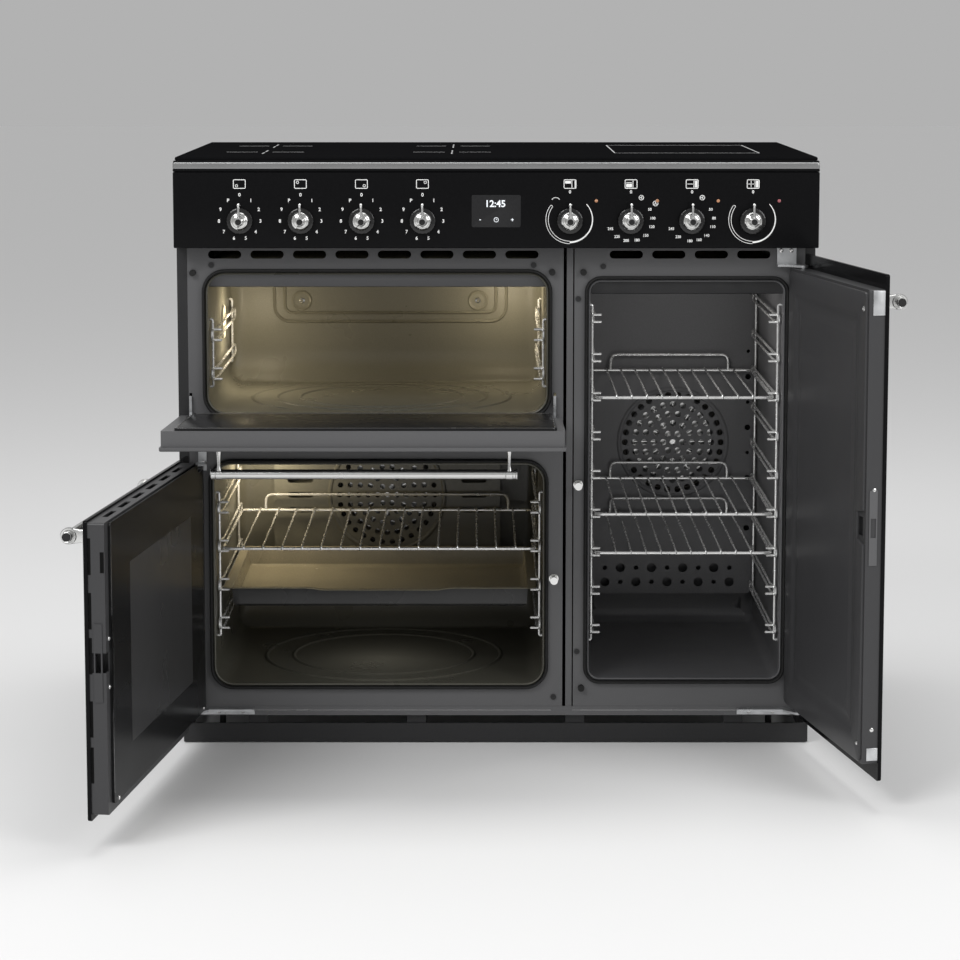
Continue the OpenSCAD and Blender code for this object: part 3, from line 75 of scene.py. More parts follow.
# hinges: a point of the axis, the angle at rest, and whether the axis is upright
HINGES = {"main_door": ((-479.0, 0.0), -97.5, True), "tall_door": ((479.0, 0.0), 100.5, True),
          "grill_door": ((-1.0, 515.0), 87.0, False)}
# ovens: middle x, width, floor z, height, corner radius, depth
GRILL = (-186.5, 534.0, 533.0, 220.0, 29.0, 405.0)
MAIN = (-185.5, 522.0, 97.0, 355.0, 29.0, 440.0)
TALL = (299.5, 305.0, 106.0, 636.0, 18.0, 440.0)
LIP, SEAL_OUT, SEAL_W, SHEET = 1.0, 8.2, 6.0, 1.2
# rings pressed in the floors: middle y, radii, and radius and first angles of the outer arcs
GRILL_RINGS, GRILL_ARCS, MAIN_RINGS = (224, (134, 172)), (211, (35, 215)), (243, (150, 195))
DIMPLE_X, DIMPLE_Z = (-330.0, -28.5), 673.0
FAN_COVERS = ((MAIN, -185.5, 335, 99), (TALL, 307.5, 427, 93))    # oven, middle x, z, radius
# wirework: levels of the racks' rails, radii and distances from the walls
GRILL_LEVELS = (583.0, 645.0)
MAIN_LEVELS = tuple(181 + 62.5 * i for i in range(4))
TALL_LEVELS = tuple(174 + 62.5 * i for i in range(9))
RACK_R, SHELF_R, THIN_R, REST_GAP = 2.2, 2.5, 1.6, 0.3
STAND_OFF, RAIL_OFF = 5.5, 9.4
SHELF_IN, SHELF_Y0, SHELF_Y1 = 11.0, FACE_Y + 24.7, FACE_Y + 396.0
# dials, their scales as (degrees clockwise from the top, text), and the plates of their signs
DIAL_Z = 839.2
DIAL_X = (-396.9, -302.6, -208.3, -114.0, 114.0, 208.3, 302.6, 396.9)
SCALES = {5: ((58, "50"), (84, "100"), (108, "120"), (137, "150"), (163, "180"), (192, "200"),
              (218, "225"), (246, "245")),
          6: ((58, "50"), (84, "80"), (108, "110"), (137, "140"), (160, "160"), (184, "180"),
              (217, "220"), (246, "245"))}
WALL_SIGN = ((4.4, -5.2, 8.0, 5.2), (-7.6, -0.4, 1.4, 0.5))
SIGNS = {4: ((-7.6, 0.8, 1.4, 4.8), (7.2, -5.4, 8.4, 5.4)),
         5: ((-7.6, -5.0, 1.4, 0.6), (-7.6, 2.0, 1.4, 2.8)),
         6: WALL_SIGN, 7: WALL_SIGN + ((-3.6, -5.2, -2.7, 5.2),)}
CAPITAL = 0.7    # height of a capital in a font of size 1
# studio, in metres: (name, place, aim, size, power) and (name, place, power, colour)
AMBIENT, BACKDROP = 0.58, 0.445    # light from all round, and the background that shows
FLOOR_HALF = 30.0
WARM, PLAIN = (1.0, 0.86, 0.62), (1.0, 0.97, 0.93)
STUDIO_LAMPS = (("key", (-2.2, -3.0, 3.4), (0, 0, 0.5), (2.2, 1.6), 88),
                ("fill", (2.8, -2.6, 2.2), (0, 0, 0.5), (2.0, 2.0), 45),
                ("top", (0, 0.6, 3.6), (0, 0.2, 0.5), (2.4, 1.6), 45))
OVEN_LAMPS = (("grill_lamp", (-0.405, 0.279, 0.655), 1.7, WARM),
              ("grill_lamp_right", (0.02, 0.33, 0.69), 1.2, WARM),
              ("main_lamp", (-0.39, 0.36, 0.41), 1.5, WARM),
              ("main_low_lamp", (-0.19, 0.2, 0.19), 0.2, PLAIN),
              ("tall_lamp", (0.3, 0.16, 0.69), 0.8, PLAIN))
LAMP_R = 0.03
CAMERA_AT, CAMERA_TILT, CAMERA_LENS, CAMERA_SHIFT = (-0.0251, -4.3609, 1.1284), 7.13, 105.36, -0.1


# ---- surfaces worked out with numpy ----

def faces(rows, cols, around=True, stacked=False):
    """Quads of a grid of rows by cols points. around joins the last column to the first, and
    stacked joins the last row to the first."""
    r = np.arange(rows if stacked else rows - 1)[:, None]
    c = np.arange(cols if around else cols - 1)[None, :]
    r2, c2 = (r + 1) % rows, (c + 1) % cols
    return np.stack([r * cols + c, r * cols + c2, r2 * cols + c2, r2 * cols + c], -1).reshape(-1, 4)


def skin(points, around=True, stacked=False, capped=False, mat=0):
    """A shape from a grid of points (rows, cols, 3). capped closes the first and last row."""
    rows, cols = points.shape[:2]
    caps = [list(range(cols))[::-1], list(range((rows - 1) * cols, rows * cols))] if capped else []
    return points.reshape(-1, 3), faces(rows, cols, around, stacked), caps, mat


def rect_loop(x0, z0, x1, z1, r, corner=8, steps=(1, 1)):
    """A rounded rectangle, anticlockwise: four quarter circles of radius r joined by straight
    runs of steps[0] (flat) and steps[1] (upright) pieces. Any size gives the same point count."""
    r = max(min(r, (x1 - x0) / 2 - 0.01, (z1 - z0) / 2 - 0.01), 0.01)
    centres = ((x1 - r, z0 + r), (x1 - r, z1 - r), (x0 + r, z1 - r), (x0 + r, z0 + r))
    out = []
    for k, (cx, cz) in enumerate(centres):
        a = np.radians(-90 + 90 * k) + np.linspace(0, np.pi / 2, corner + 1)
        bend = np.stack([cx + r * np.cos(a), cz + r * np.sin(a)], -1)
        nx, nz = centres[(k + 1) % 4]
        b = math.radians(90 * k)
        end = np.array([nx + r * math.cos(b), nz + r * math.sin(b)])
        t = np.linspace(0, 1, steps[(k + 1) % 2] + 1)[1:-1, None]
        out += [bend, bend[-1] * (1 - t) + end * t]
    return np.concatenate(out)


def carried(rect, profile, capped=False, closed=False, corner=8, steps=(1, 1), mat=0):
    """A profile of (outset, depth) points carried round a rounded rectangle (x0, z0, x1, z1, r)
    that stands in X and Z. Depth is along Y."""
    x0, z0, x1, z1, r = rect
    rows = []
    for out, y in profile:
        loop = rect_loop(x0 - out, z0 - out, x1 + out, z1 + out, r + out, corner, steps)
        rows.append(np.stack([loop[:, 0], np.full(len(loop), y), loop[:, 1]], -1))
    return skin(np.array(rows), True, closed, capped, mat)


def laid(rect, profile, capped=False, mat=0):
    """As carried, but the rectangle lies in X and Y and the profile's depth is along Z."""
    v, q, caps, m = carried(rect, profile, capped, mat=mat)
    return v[:, [0, 2, 1]], q, caps, m


def moved(profile, by):
    """A profile whose second coordinates are counted from by."""
    return [(a, by + b) for a, b in profile]


def lathe(profile, centre, axis, n, ripple=0, mat=0):
    """A profile of (radius, position) points turned about an axis through centre. ripple makes
    24 shallow flutes: the radius is scaled by 1 + ripple * cos(24 angle)."""
    p = np.array(profile, float)
    a = np.linspace(0, 2 * np.pi, n, endpoint=False)
    r = p[:, 0:1] * (1 + ripple * np.cos(24 * a))[None, :]
    u, w, t = r * np.sin(a), r * np.cos(a), np.repeat(p[:, 1:2], n, 1)
    order = {"y": (u, t, w), "x": (t, u, w), "z": (u, w, t)}[axis]
    return skin(np.stack(order, -1) + np.array(centre, float), True, False, False, mat)


def bent(points, r):
    """A path through points whose inner corners become parabolas that start r from the corner."""
    p = np.array(points, float)
    out = [p[:1]]
    for a, b, c in zip(p[:-2], p[1:-1], p[2:]):
        u, v = (a - b) / np.linalg.norm(a - b), (c - b) / np.linalg.norm(c - b)
        d = min(r, np.linalg.norm(a - b) / 2, np.linalg.norm(c - b) / 2)
        t = np.linspace(0, 1, 6)[:, None]
        out.append((1 - t) ** 2 * (b + u * d) + 2 * t * (1 - t) * b + t ** 2 * (b + v * d))
    return np.concatenate(out + [p[-1:]])


def tangents(p, loop):
    """Unit tangents along a path, from the differences between each point's neighbours."""
    t = np.roll(p, -1, 0) - np.roll(p, 1, 0) if loop else np.gradient(p, axis=0)
    return t / np.linalg.norm(t, axis=1, keepdims=True)


def wire(path, r, side, sides=10, loop=False):
    """A round wire along a flat path: at each point a circle of radius r stands across the
    tangent, between side, which is square to the path's plane, and tangent x side. The ends of
    an open wire are drawn in to a tip."""
    p = np.array(path, float)
    t = tangents(p, loop)
    s = np.array(side, float)
    n = np.cross(t, s)
    n /= np.linalg.norm(n, axis=1, keepdims=True)
    a = np.linspace(0, 2 * np.pi, sides, endpoint=False)
    a = a[None, :, None]
    pts = p[:, None, :] + r * (np.cos(a) * s + np.sin(a) * n[:, None, :])
    if not loop:
        tip = ((0.05, 0.5), (0.7, 0.4))    # share of the radius, and how many radii further out
        head = [p[:1, None] + (pts[:1] - p[:1, None]) * k - t[0] * r * d for k, d in tip]
        tail = [p[-1:, None] + (pts[-1:] - p[-1:, None]) * k + t[-1] * r * d for k, d in tip[::-1]]
        pts = np.concatenate(head + [pts] + tail)
    return skin(pts, True, loop, not loop)


def strip(path, width, y0, y1, loop=False):
    """A flat printed line of the given width along a path of (x, z) points, from y0 to y1."""
    p = np.array(path, float)
    t = tangents(p, loop)
    n = np.stack([-t[:, 1], t[:, 0]], -1)
    w = np.broadcast_to(np.asarray(width, float), len(p))[:, None] / 2
    cols = [(p + n * w, y0), (p - n * w, y0), (p - n * w, y1), (p + n * w, y1)]
    pts = np.stack([np.insert(q, 1, y, axis=1) for q, y in cols], 1)
    return skin(pts, True, loop, not loop)


def block(low, high, r):
    """A box with rounded upright edges and softened ends, for small fittings."""
    (x0, y0, z0), (x1, y1, z1) = low, high
    b = min(r, (y1 - y0) / 3)
    front = [(-b, y0), (-b * 0.3, y0 + b * 0.3), (0, y0 + b)]
    back = [(0, y1 - b), (-b * 0.3, y1 - b * 0.3), (-b, y1)]
    return carried((x0, z0, x1, z1, r * 1.5), front + back, capped=True, corner=4)


def screw(x, y, z, r, out=-1):
    """A pan-head screw of radius r on a face at y, its head standing out along Y (out is the
    sign of that way), with a recess."""
    head = [(r, 0), (r, 0.8), (r * 0.8, 1.6), (r * 0.45, 1.8), (r * 0.4, 1.0), (0.01, 0.9)]
    return lathe([(0.01, y)] + [(w, y + out * t) for w, t in head], (x, 0, z), "y", 20)


def turned(points, pin, degrees, upright):
    """Points turned about a hinge: about Z through pin (x, y), or about X through pin (y, z)."""
    v = np.array(points, float)
    a = math.radians(degrees)
    i, j = (0, 1) if upright else (1, 2)
    du, dv = v[:, i] - pin[0], v[:, j] - pin[1]
    v[:, i] = pin[0] + du * math.cos(a) - dv * math.sin(a)
    v[:, j] = pin[1] + du * math.sin(a) + dv * math.cos(a)
    return v


def swing(door, shapes):
    """Swings shapes drawn on a closed door to where that door rests."""
    return [(turned(v, *HINGES[door]), q, caps, mat) for v, q, caps, mat in shapes]


def put(name, shapes, finishes, replaces=(), body="cabinet", outward=True, pick=None):
    """Joins shapes into one object at the origin, in metres, with its finishes, normals and
    sharp edges, and makes it ride on a body. pick chooses a finish's index by face normals."""
    verts, polys, index, base = [], [], [], 0
    for v, q, caps, m in shapes:
        verts.append(v)
        polys += (q + base).tolist() + [[k + base for k in c] for c in caps]
        index += [m] * (len(q) + len(caps))
        base += len(v)
    me = bpy.data.meshes.new(name)
    me.from_pydata((np.concatenate(verts) * MM).tolist(), [], polys)
    me.polygons.foreach_set("material_index", np.array(index, np.int32))
    for kind in finishes:
        me.materials.append(material(kind))
    bm = bmesh.new()
    bm.from_mesh(me)
    bmesh.ops.remove_doubles(bm, verts=bm.verts, dist=2e-6)
    bmesh.ops.dissolve_degenerate(bm, edges=bm.edges, dist=1e-7)
    if outward:
        bmesh.ops.recalc_face_normals(bm, faces=bm.faces)
    bm.to_mesh(me)
    bm.free()
    me.polygons.foreach_set("use_smooth", np.ones(len(me.polygons), bool))
    me.set_sharp_from_angle(angle=math.radians(35))
    if pick:
        normals = np.zeros(len(me.polygons) * 3, np.float32)
        me.polygons.foreach_get("normal", normals)
        me.polygons.foreach_set("material_index", pick(normals.reshape(-1, 3)).astype(np.int32))
    me.update()
    obj = bpy.data.objects.new(name, me)
    bpy.context.scene.collection.objects.link(obj)
    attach(obj, body)
    if replaces:
        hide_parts(*replaces)
    return obj


# ---- finishes ----

MATS = {}
# name, colour (or the setting it is taken from), roughness, metal, specular, and then, where they
# are wanted: specks, wear, bump, glow, coat
FINISHES = (
    ("Front Enamel", "frame", 0.36, 0, 0.35, (900, 0.06), (8, 0.08), (420, 0.06)),
    ("Oven Enamel Warm", "warm_oven", 0.3, 0, 0.45, (1200, 0.18), (9, 0.12), (260, 0.08)),
    ("Oven Enamel Grey", "grey_oven", 0.32, 0, 0.4, (1200, 0.16), (9, 0.12), (260, 0.08)),
    ("Door Enamel", "door_inner", 0.38, 0, 0.35, (1200, 0.08), (6, 0.1), (300, 0.05)),
    ("Gloss Black", "gloss", 0.16, 0, 0.06, (300, 0.12), (6, 0.15), (60, 0.02)),
    ("Hob Glass", "gloss", 0.12, 0, 0.0, (300, 0.15), (6, 0.2), (40, 0.01)),
    ("Door Glass", (0.012, 0.012, 0.0125), 0.26, 0, 0.16, (300, 0.12), (6, 0.12), (40, 0.01)),
    ("Display Glass", (0.02, 0.02, 0.021), 0.22, 0, 0.2, (300, 0.12), (6, 0.12)),
    ("Glass Window", (0.045, 0.045, 0.046), 0.3, 0, 0.16, (900, 0.08), (6, 0.15)),
    ("Side Black", (0.02, 0.02, 0.021), 0.42, 0, 0.35, (800, 0.2), (30, 0.2), (700, 0.5)),
    ("Chrome", (0.78, 0.78, 0.77), 0.1, 1.0, 0.5, (60, 0.05), (50, 0.5)),
    ("Wire Chrome", (0.86, 0.86, 0.85), 0.22, 0.72, 0.5, (120, 0.08), (80, 0.5)),
    ("Satin Steel", (0.72, 0.72, 0.71), 0.24, 1.0, 0.5, (900, 0.04), (12, 0.15), (1500, 0.05)),
    # the grill pane's bead, and painted highlights: brighter metal on the hob's side band, the main
    # door's edge line and the frames' lower edges
    ("Edge Trim", (0.4, 0.4, 0.4), 0.25, 1.0, 0.5, (900, 0.05), (12, 0.15)),
    ("Zinc Plate", (0.6, 0.61, 0.62), 0.34, 0.9, 0.5, (55, 0.15), (45, 0.35), (300, 0.3)),
    ("Galvanised", (0.5, 0.51, 0.53), 0.42, 0.85, 0.5, (38, 0.22), (30, 0.35), (120, 0.25)),
    ("Element Steel", (0.05, 0.046, 0.04), 0.55, 0.3, 0.5, (80, 0.4), (50, 0.3), (500, 0.3)),
    ("Seal Rubber", (0.012, 0.012, 0.012), 0.7, 0, 0.3, (300, 0.3), None, (900, 0.6)),
    ("Black Plastic", (0.015, 0.015, 0.015), 0.36, 0, 0.4, (500, 0.2), None, (1200, 0.5)),
    ("Black Gloss Ring", (0.01, 0.01, 0.01), 0.16, 0, 0.5, (200, 0.2), (90, 0.3)),
    ("Foot Plastic", (0.02, 0.02, 0.02), 0.6, 0, 0.3, (400, 0.3), None, (900, 0.7)),
    ("Print", (0.9, 0.9, 0.89), 0.5, 0, 0.2, (1500, 0.06)),
    ("Zone Print", (0.45, 0.45, 0.45), 0.5, 0, 0.2, (1500, 0.1)),
    ("Display Glow", (0.6, 0.62, 0.64), 0.4, 0, 0.5, (1500, 0.05), None, None,
     ((0.75, 0.8, 0.85), 0.6)),
    ("Amber Jewel", (0.42, 0.2, 0.1), 0.15, 0, 0.5, (300, 0.2), None, None,
     ((0.6, 0.25, 0.1), 0.1), 0.6),
    ("Red Jewel", (0.3, 0.08, 0.09), 0.15, 0, 0.5, (300, 0.2), None, None,
     ((0.5, 0.06, 0.08), 0.08), 0.6),
    ("Lamp Glass", (0.3, 0.28, 0.23), 0.2, 0, 0.6, (80, 0.08), None, None,
     ((1.0, 0.86, 0.6), 0.12)),
    ("Mineral Wool", (0.55, 0.5, 0.34), 0.95, 0, 0.1, (260, 0.35), None, (420, 1.0)),
    ("Coil Copper", (0.12, 0.07, 0.045), 0.6, 0.3, 0.5, (400, 0.3), (200, 0.3)),
    ("Tray Enamel", (0.26, 0.235, 0.17), 0.24, 0, 0.5, (1000, 0.2), (9, 0.15), (200, 0.1)),
    # painted shade: a near-black copy of the tray enamel for the tray's faces that point downward
    ("Tray Outside", (0.03, 0.03, 0.03), 0.3, 0, 0.45, (1000, 0.2), (9, 0.15)),
    # painted shade: near-black for the inside of a recess and of slots
    ("Dark Hollow", (0.004, 0.004, 0.004), 0.8, 0, 0.1, (200, 0.3)),
    ("Studio Floor", "floor", 0.85, 0, 0.1),
)


def material(name):
    """The material of a finish. All of them are made when the first is asked for."""
    if not MATS:
        make_finishes(bpy.context.scene.cooker_colours)
    return MATS[name]


def preset(node, values):
    """Sets a node's inputs from a dictionary, and returns the node."""
    for key, value in values.items():
        node.inputs[key].default_value = value
    return node


def finish(name, colour, rough, metal, spec, speck=None, wear=None, bump=None, glow=None, coat=0):
    """A procedural finish. speck = (scale, amount) varies the colour, wear = (scale, amount)
    varies the roughness, bump = (scale, strength) roughens the surface, glow = (colour,
    strength) is an emission, and coat is a clear coat's weight."""
    m = bpy.data.materials.new(name)
    m.use_nodes = True
    nt = m.node_tree
    b = preset(nt.nodes["Principled BSDF"], {
        "Base Color": (*colour, 1), "Roughness": rough, "Metallic": metal,
        "Specular IOR Level": spec, "Coat Weight": coat, "Coat Roughness": 0.08})
    coord = nt.nodes.new("ShaderNodeTexCoord")

    def noise(scale, detail=3.0):
        n = preset(nt.nodes.new("ShaderNodeTexNoise"), {"Scale": scale, "Detail": detail})
        nt.links.new(coord.outputs["Object"], n.inputs["Vector"])
        return n.outputs["Fac"]

    def spread(source, low, high):
        r = preset(nt.nodes.new("ShaderNodeMapRange"),
                   {"From Min": 0.3, "From Max": 0.7, "To Min": low, "To Max": high})
        nt.links.new(source, r.inputs["Value"])
        return r.outputs["Result"]

    if speck:
        scale, amount = speck
        mix = nt.nodes.new("ShaderNodeMix")
        mix.data_type = "RGBA"
        preset(mix, {"A": (*[c * (1 - amount) for c in colour], 1),
                     "B": (*[min(c * (1 + amount), 1) for c in colour], 1)})
        nt.links.new(spread(noise(scale, 6.0), 0.0, 1.0), mix.inputs["Factor"])
        nt.links.new(mix.outputs["Result"], b.inputs["Base Color"])
    if wear:
        scale, amount = wear
        level = spread(noise(scale), rough * (1 - amount), min(rough * (1 + amount), 1))
        nt.links.new(level, b.inputs["Roughness"])
    if bump:
        scale, strength = bump
        bn = preset(nt.nodes.new("ShaderNodeBump"), {"Strength": strength, "Distance": 0.0002})
        nt.links.new(noise(scale, 2.0), bn.inputs["Height"])
        nt.links.new(bn.outputs["Normal"], b.inputs["Normal"])
    if glow:
        preset(b, {"Emission Color": (*glow[0], 1), "Emission Strength": glow[1]})
    MATS[name] = m


def make_finishes(settings):
    """Makes all the finishes of the table."""
    for name, colour, *rest in FINISHES:
        finish(name, getattr(settings, colour) if isinstance(colour, str) else colour, *rest)


# ---- settings ----

def colour_setting(name, description, default):
    """A colour setting."""
    return FloatVectorProperty(name=name, description=description, subtype="COLOR", size=3,
                               default=default, min=0, max=1)


def length_setting(name, description, default, low, high):
    """A length setting, in metres."""
    return FloatProperty(name=name, description=description, default=default, min=low, max=high,
                         unit="LENGTH")


class CookerColours(bpy.types.PropertyGroup):
    """Base colours of the main finishes."""
    frame: colour_setting("Front Frame", "Enamel of the front frames and door frames",
                          (0.102, 0.102, 0.105))
    warm_oven: colour_setting("Left Ovens", "Enamel of the two left-hand ovens",
                              (0.085, 0.082, 0.066))
    grey_oven: colour_setting("Tall Oven", "Enamel of the tall oven", (0.095, 0.095, 0.099))
    door_inner: colour_setting("Door Lining", "Enamel of the tall door's inner panel",
                               (0.045, 0.045, 0.047))
    gloss: colour_setting("Gloss Black", "Colour of the fascia and the hob glass",
                          (0.006, 0.006, 0.0065))
    floor: colour_setting("Floor", "Colour of the studio floor", (0.78, 0.78, 0.78))


class CookerSizes(bpy.types.PropertyGroup):
    """Sizes of the details that are added to the solids."""
    rear_bend: length_setting("Rear Bend", "Radius between an oven's walls and its back",
                              0.024, 0.005, 0.05)
    emboss: length_setting("Emboss Height", "Height of the rings pressed in the floors",
                           0.0035, 0, 0.005)
    collar: length_setting("Handle Collar", "Radius of the collars on the grill door's handle",
                   0.0079, 0.0074, 0.0085)
    print_depth: length_setting("Print Depth", "Thickness of the printed marks",
                                0.00018, 0.0001, 0.0005)


# ---- ovens ----

def ridge(cx, cy, z, r, lift, a0=0, a1=360):
    """A ridge pressed in a floor along an arc of radius r: a raised-cosine section 12 mm wide.
    Its height eases to nothing at an arc's ends. Angles run clockwise from the rear."""
    n, half, around = 120, 6, a1 - a0 == 360
    a = np.radians(np.linspace(a0, a1, n, endpoint=not around))
    t = np.linspace(-1, 1, 11)
    step = np.arange(n)
    ease = np.ones(n) if around else np.clip(np.minimum(step, step[::-1]) / 14, 0, 1)
    rr = (r + half * t)[:, None]
    high = z + lift / 2 * (1 + np.cos(np.pi * t))[:, None] * ease
    top = np.stack([cx + rr * np.sin(a), cy + rr * np.cos(a), high], -1)
    low = top[[-1, 0]] * 1
    low[..., 2] = z - 0.5
    rows = np.concatenate([top, low])
    v, q, _, m = skin(rows, around, True)
    ends = [] if around else [[k * n + i for k in range(len(rows))] for i in (0, n - 1)]
    return v, q, ends, m


def oven_liner(oven, bend, foot):
    """An oven's enamelled liner: the mouth's outline runs back from its rolled lip to the rear
    wall, turns in over a bend, and shrinks to the middle of the wall. The foot of the rear wall
    comes forward along a parabola, by foot at the floor and less and less round the bend."""
    cx, _, z0, h, _, depth = oven
    y1 = FACE_Y + depth
    prof = moved([(SEAL_OUT + 1.9, 3.8), (SEAL_OUT + 1.9, 2.4), (2.6, 2.4), (1.3, 1.4), (LIP, 0.5),
                  (LIP, -0.6), (LIP * 0.6, -1), (0.2, -0.8), (0, 0)], FACE_Y)
    prof += [(0, y) for y in np.arange(FACE_Y + 6, y1 - bend, 24)]
    prof += [(-bend * (1 - math.cos(k)), y1 - bend * (1 - math.sin(k)))
             for k in np.linspace(0, np.pi / 2, 9)]
    v = carried(mouth(oven), prof, steps=(24, 24))[0]
    cols = len(v) // len(prof)
    last = v[-cols:]
    mid = np.array([cx, y1, z0 + h / 2])
    s = np.linspace(1, 0, 30)[1:, None, None]
    v = np.concatenate([v, (mid + (last - mid) * s).reshape(-1, 3)])
    near = np.clip((v[:, 1] - y1 + bend) / bend, 0, 1)
    v[:, 1] -= near * near * foot * np.clip((z0 + 57 - v[:, 2]) / 57, 0, 1) ** 2
    return v, faces(len(prof) + len(s), cols)[:, ::-1], [], 0


def mouth(oven):
    """An oven's mouth as a rounded rectangle (x0, z0, x1, z1, r)."""
    cx, w, z0, h, r, _ = oven
    return cx - w / 2, z0, cx + w / 2, z0 + h, r


def baffle(oven, mat):
    """A pressed strip that hangs behind the top of an oven's mouth: a section of (y, z) points,
    bowed at the front and rolled at its lower edge, drawn straight across the mouth."""
    x0, _, x1, z1, _ = mouth(oven)
    top = z1 - 0.4
    low = top - 21
    section = np.array([(7, top), (7.6, top - 6), (9.2, top - 12), (11.6, low + 3), (12.4, low + 1),
                        (14, low), (15.6, low + 1), (16.2, low + 3), (16.2, top)]) + (FACE_Y, 0)
    rows = [np.insert(section, 0, x, axis=1) for x in (x0 + 1, x1 - 1)]
    return skin(np.array(rows), True, False, True, mat)


class COOKER_OT_ovens(bpy.types.Operator):
    """Oven liners with rolled lips, pressed floors and rear walls, and the seals round them"""
    bl_idname = "cooker.ovens"
    bl_label = "Ovens and seals"

    def execute(self, context):
        size = context.scene.cooker_sizes
        bend, lift = size.rear_bend / MM, size.emboss / MM
        seals = []
        for name, oven, foot, kind in (("grill", GRILL, 20.0, "Oven Enamel Warm"),
                                       ("main", MAIN, 20.0, "Oven Enamel Warm"),
                                       ("tall", TALL, 0.0, "Oven Enamel Grey")):
            obj = put(f"oven_liner_{name}", [oven_liner(oven, bend, foot)], [kind],
                      (f"cavity_{name}",), outward=False)
            wall = obj.modifiers.new("Sheet", "SOLIDIFY")
            wall.thickness = SHEET * MM
            wall.offset = -1.0
            # the seal's section is an ellipse
            mid = SEAL_OUT - SEAL_W / 2
            prof = [(mid + 2.7 * math.cos(k), DOOR_FACE + 5.6 + 5.0 * math.sin(k))
                    for k in np.linspace(0, 2 * np.pi, 12, endpoint=False)]
            seals.append(carried(mouth(oven), prof, closed=True))
        put("oven_seals", seals, ["Seal Rubber"], ("door_seals",))
        # the tall oven's strip is near-black, unlike its grey enamel: painted shade along the top
        # of its mouth
        put("oven_baffles", [baffle(GRILL, 0), baffle(TALL, 1)], ["Front Enamel", "Side Black"])
        (y, radii), (r_arc, angles) = GRILL_RINGS, GRILL_ARCS
        rings = [ridge(GRILL[0], y, GRILL[2], r, lift) for r in radii]
        rings += [ridge(GRILL[0], y, GRILL[2], r_arc, lift, a, a + 110) for a in angles]
        rings += [ridge(MAIN[0], MAIN_RINGS[0], MAIN[2], r, lift) for r in MAIN_RINGS[1]]
        put("oven_floor_rings", rings, ["Oven Enamel Warm"])
        y = FACE_Y + GRILL[5]
        bead = moved([(3.6, 0.3), (3.2, -0.8), (1.6, -3), (0, -3.8), (-1.6, -3), (-3.2, -0.8),
                      (-3.6, 0.3)], y)
        pressed = [carried((x0, z0, x1, GRILL[2] + GRILL[3] - 2, r), bead, closed=True)
                   for x0, z0, x1, r in ((-377, 637, 20, 27), (-359, 652, 2, 14))]
        cup = moved([(19, 0.3), (17.6, -1.6), (15.4, -2.6), (13, -1.8), (10, -0.6), (6, -0.3),
                     (0.01, -0.3), (0.01, 0.4), (19, 0.3)], y)
        pressed += [lathe(cup, (x, 0, DIMPLE_Z), "y", 40) for x in DIMPLE_X]
        put("grill_wall_beads", pressed, ["Oven Enamel Warm"])
        put("grill_wall_screws", [screw(x, y - 0.2, DIMPLE_Z, 5.5) for x in DIMPLE_X],
            ["Satin Steel"])
        return {"FINISHED"}


# ---- wirework ----

def rack_wires(oven, side, levels, guide, short):
    """One side rack: for each level a wire bent back on itself, whose front eases towards the
    wall so that shelves slide past it, short wires that point inwards from the front upright,
    and two uprights whose ends turn to the wall. It ends short of the oven's rear wall."""
    cx, w, *_, depth = oven
    wall = cx + side * w / 2
    up, rail = wall - side * STAND_OFF, wall - side * RAIL_OFF
    y0, y1 = FACE_Y + 20, FACE_Y + depth - short
    z0, z1 = levels[0] - 12, levels[-1] + guide + 16
    front = y0 + 14
    out = []
    for y in (front, y1 - 14):
        path = [(wall, y, z0), (up, y, z0), (up, y, z1), (wall, y, z1)]
        out.append(wire(bent(path, 4), RACK_R, (0, 1, 0)))
    for z in levels:
        loop = rect_loop(y0, z, y1, z + guide, guide / 2 - 0.2, 8, (12, 1))
        t = np.clip((y0 + 26 - loop[:, 0]) / 17, 0, 1)
        x = rail + side * (RAIL_OFF - STAND_OFF + 0.3) * t * t * (3 - 2 * t)
        out.append(wire(np.insert(loop, 0, x, axis=1), RACK_R, (1, 0, 0), loop=True))
        for end in (z, z + guide):
            path = [(up - side * far, front, end) for far in (0, 8, 14)]
            out.append(wire(path, RACK_R - 0.2, (0, 1, 0)))
    return out


def shelf_wires(oven, level, count, pitch):
    """A wire shelf: a bent frame, thin wires that run front to back and turn down over the
    front and rear wires, and a bent guard at the rear."""
    x0, _, x1, _, _ = mouth(oven)
    x0, x1 = x0 + SHELF_IN, x1 - SHELF_IN
    z = level + RACK_R + REST_GAP + SHELF_R
    y0, y1 = SHELF_Y0, SHELF_Y1
    rear, guard_in, guard_h = y1 - SHELF_R, 41.0, 27.0
    loop = rect_loop(x0, y0 + SHELF_R, x1, rear, 14, 8, (6, 6))
    out = [wire(np.insert(loop, 2, z, axis=1), SHELF_R, (0, 0, 1), loop=True)]
    top = z + SHELF_R + THIN_R - 0.4
    for i in range(count):
        x = oven[0] + (i - (count - 1) / 2) * pitch
        path = [(x, y0 + 0.6, z - 1), (x, y0 + 0.6, top), (x, y1 - 1.5, top), (x, y1 - 1.5, z - 1)]
        out.append(wire(bent(path, 4), THIN_R, (1, 0, 0), 8))
    g0, g1, top = x0 + guard_in, x1 - guard_in, z + guard_h
    path = bent([(g0, rear, z), (g0, rear, top), (g1, rear, top), (g1, rear, z)], 12)
    out.append(wire(path, SHELF_R - 0.2, (0, 1, 0)))
    return out


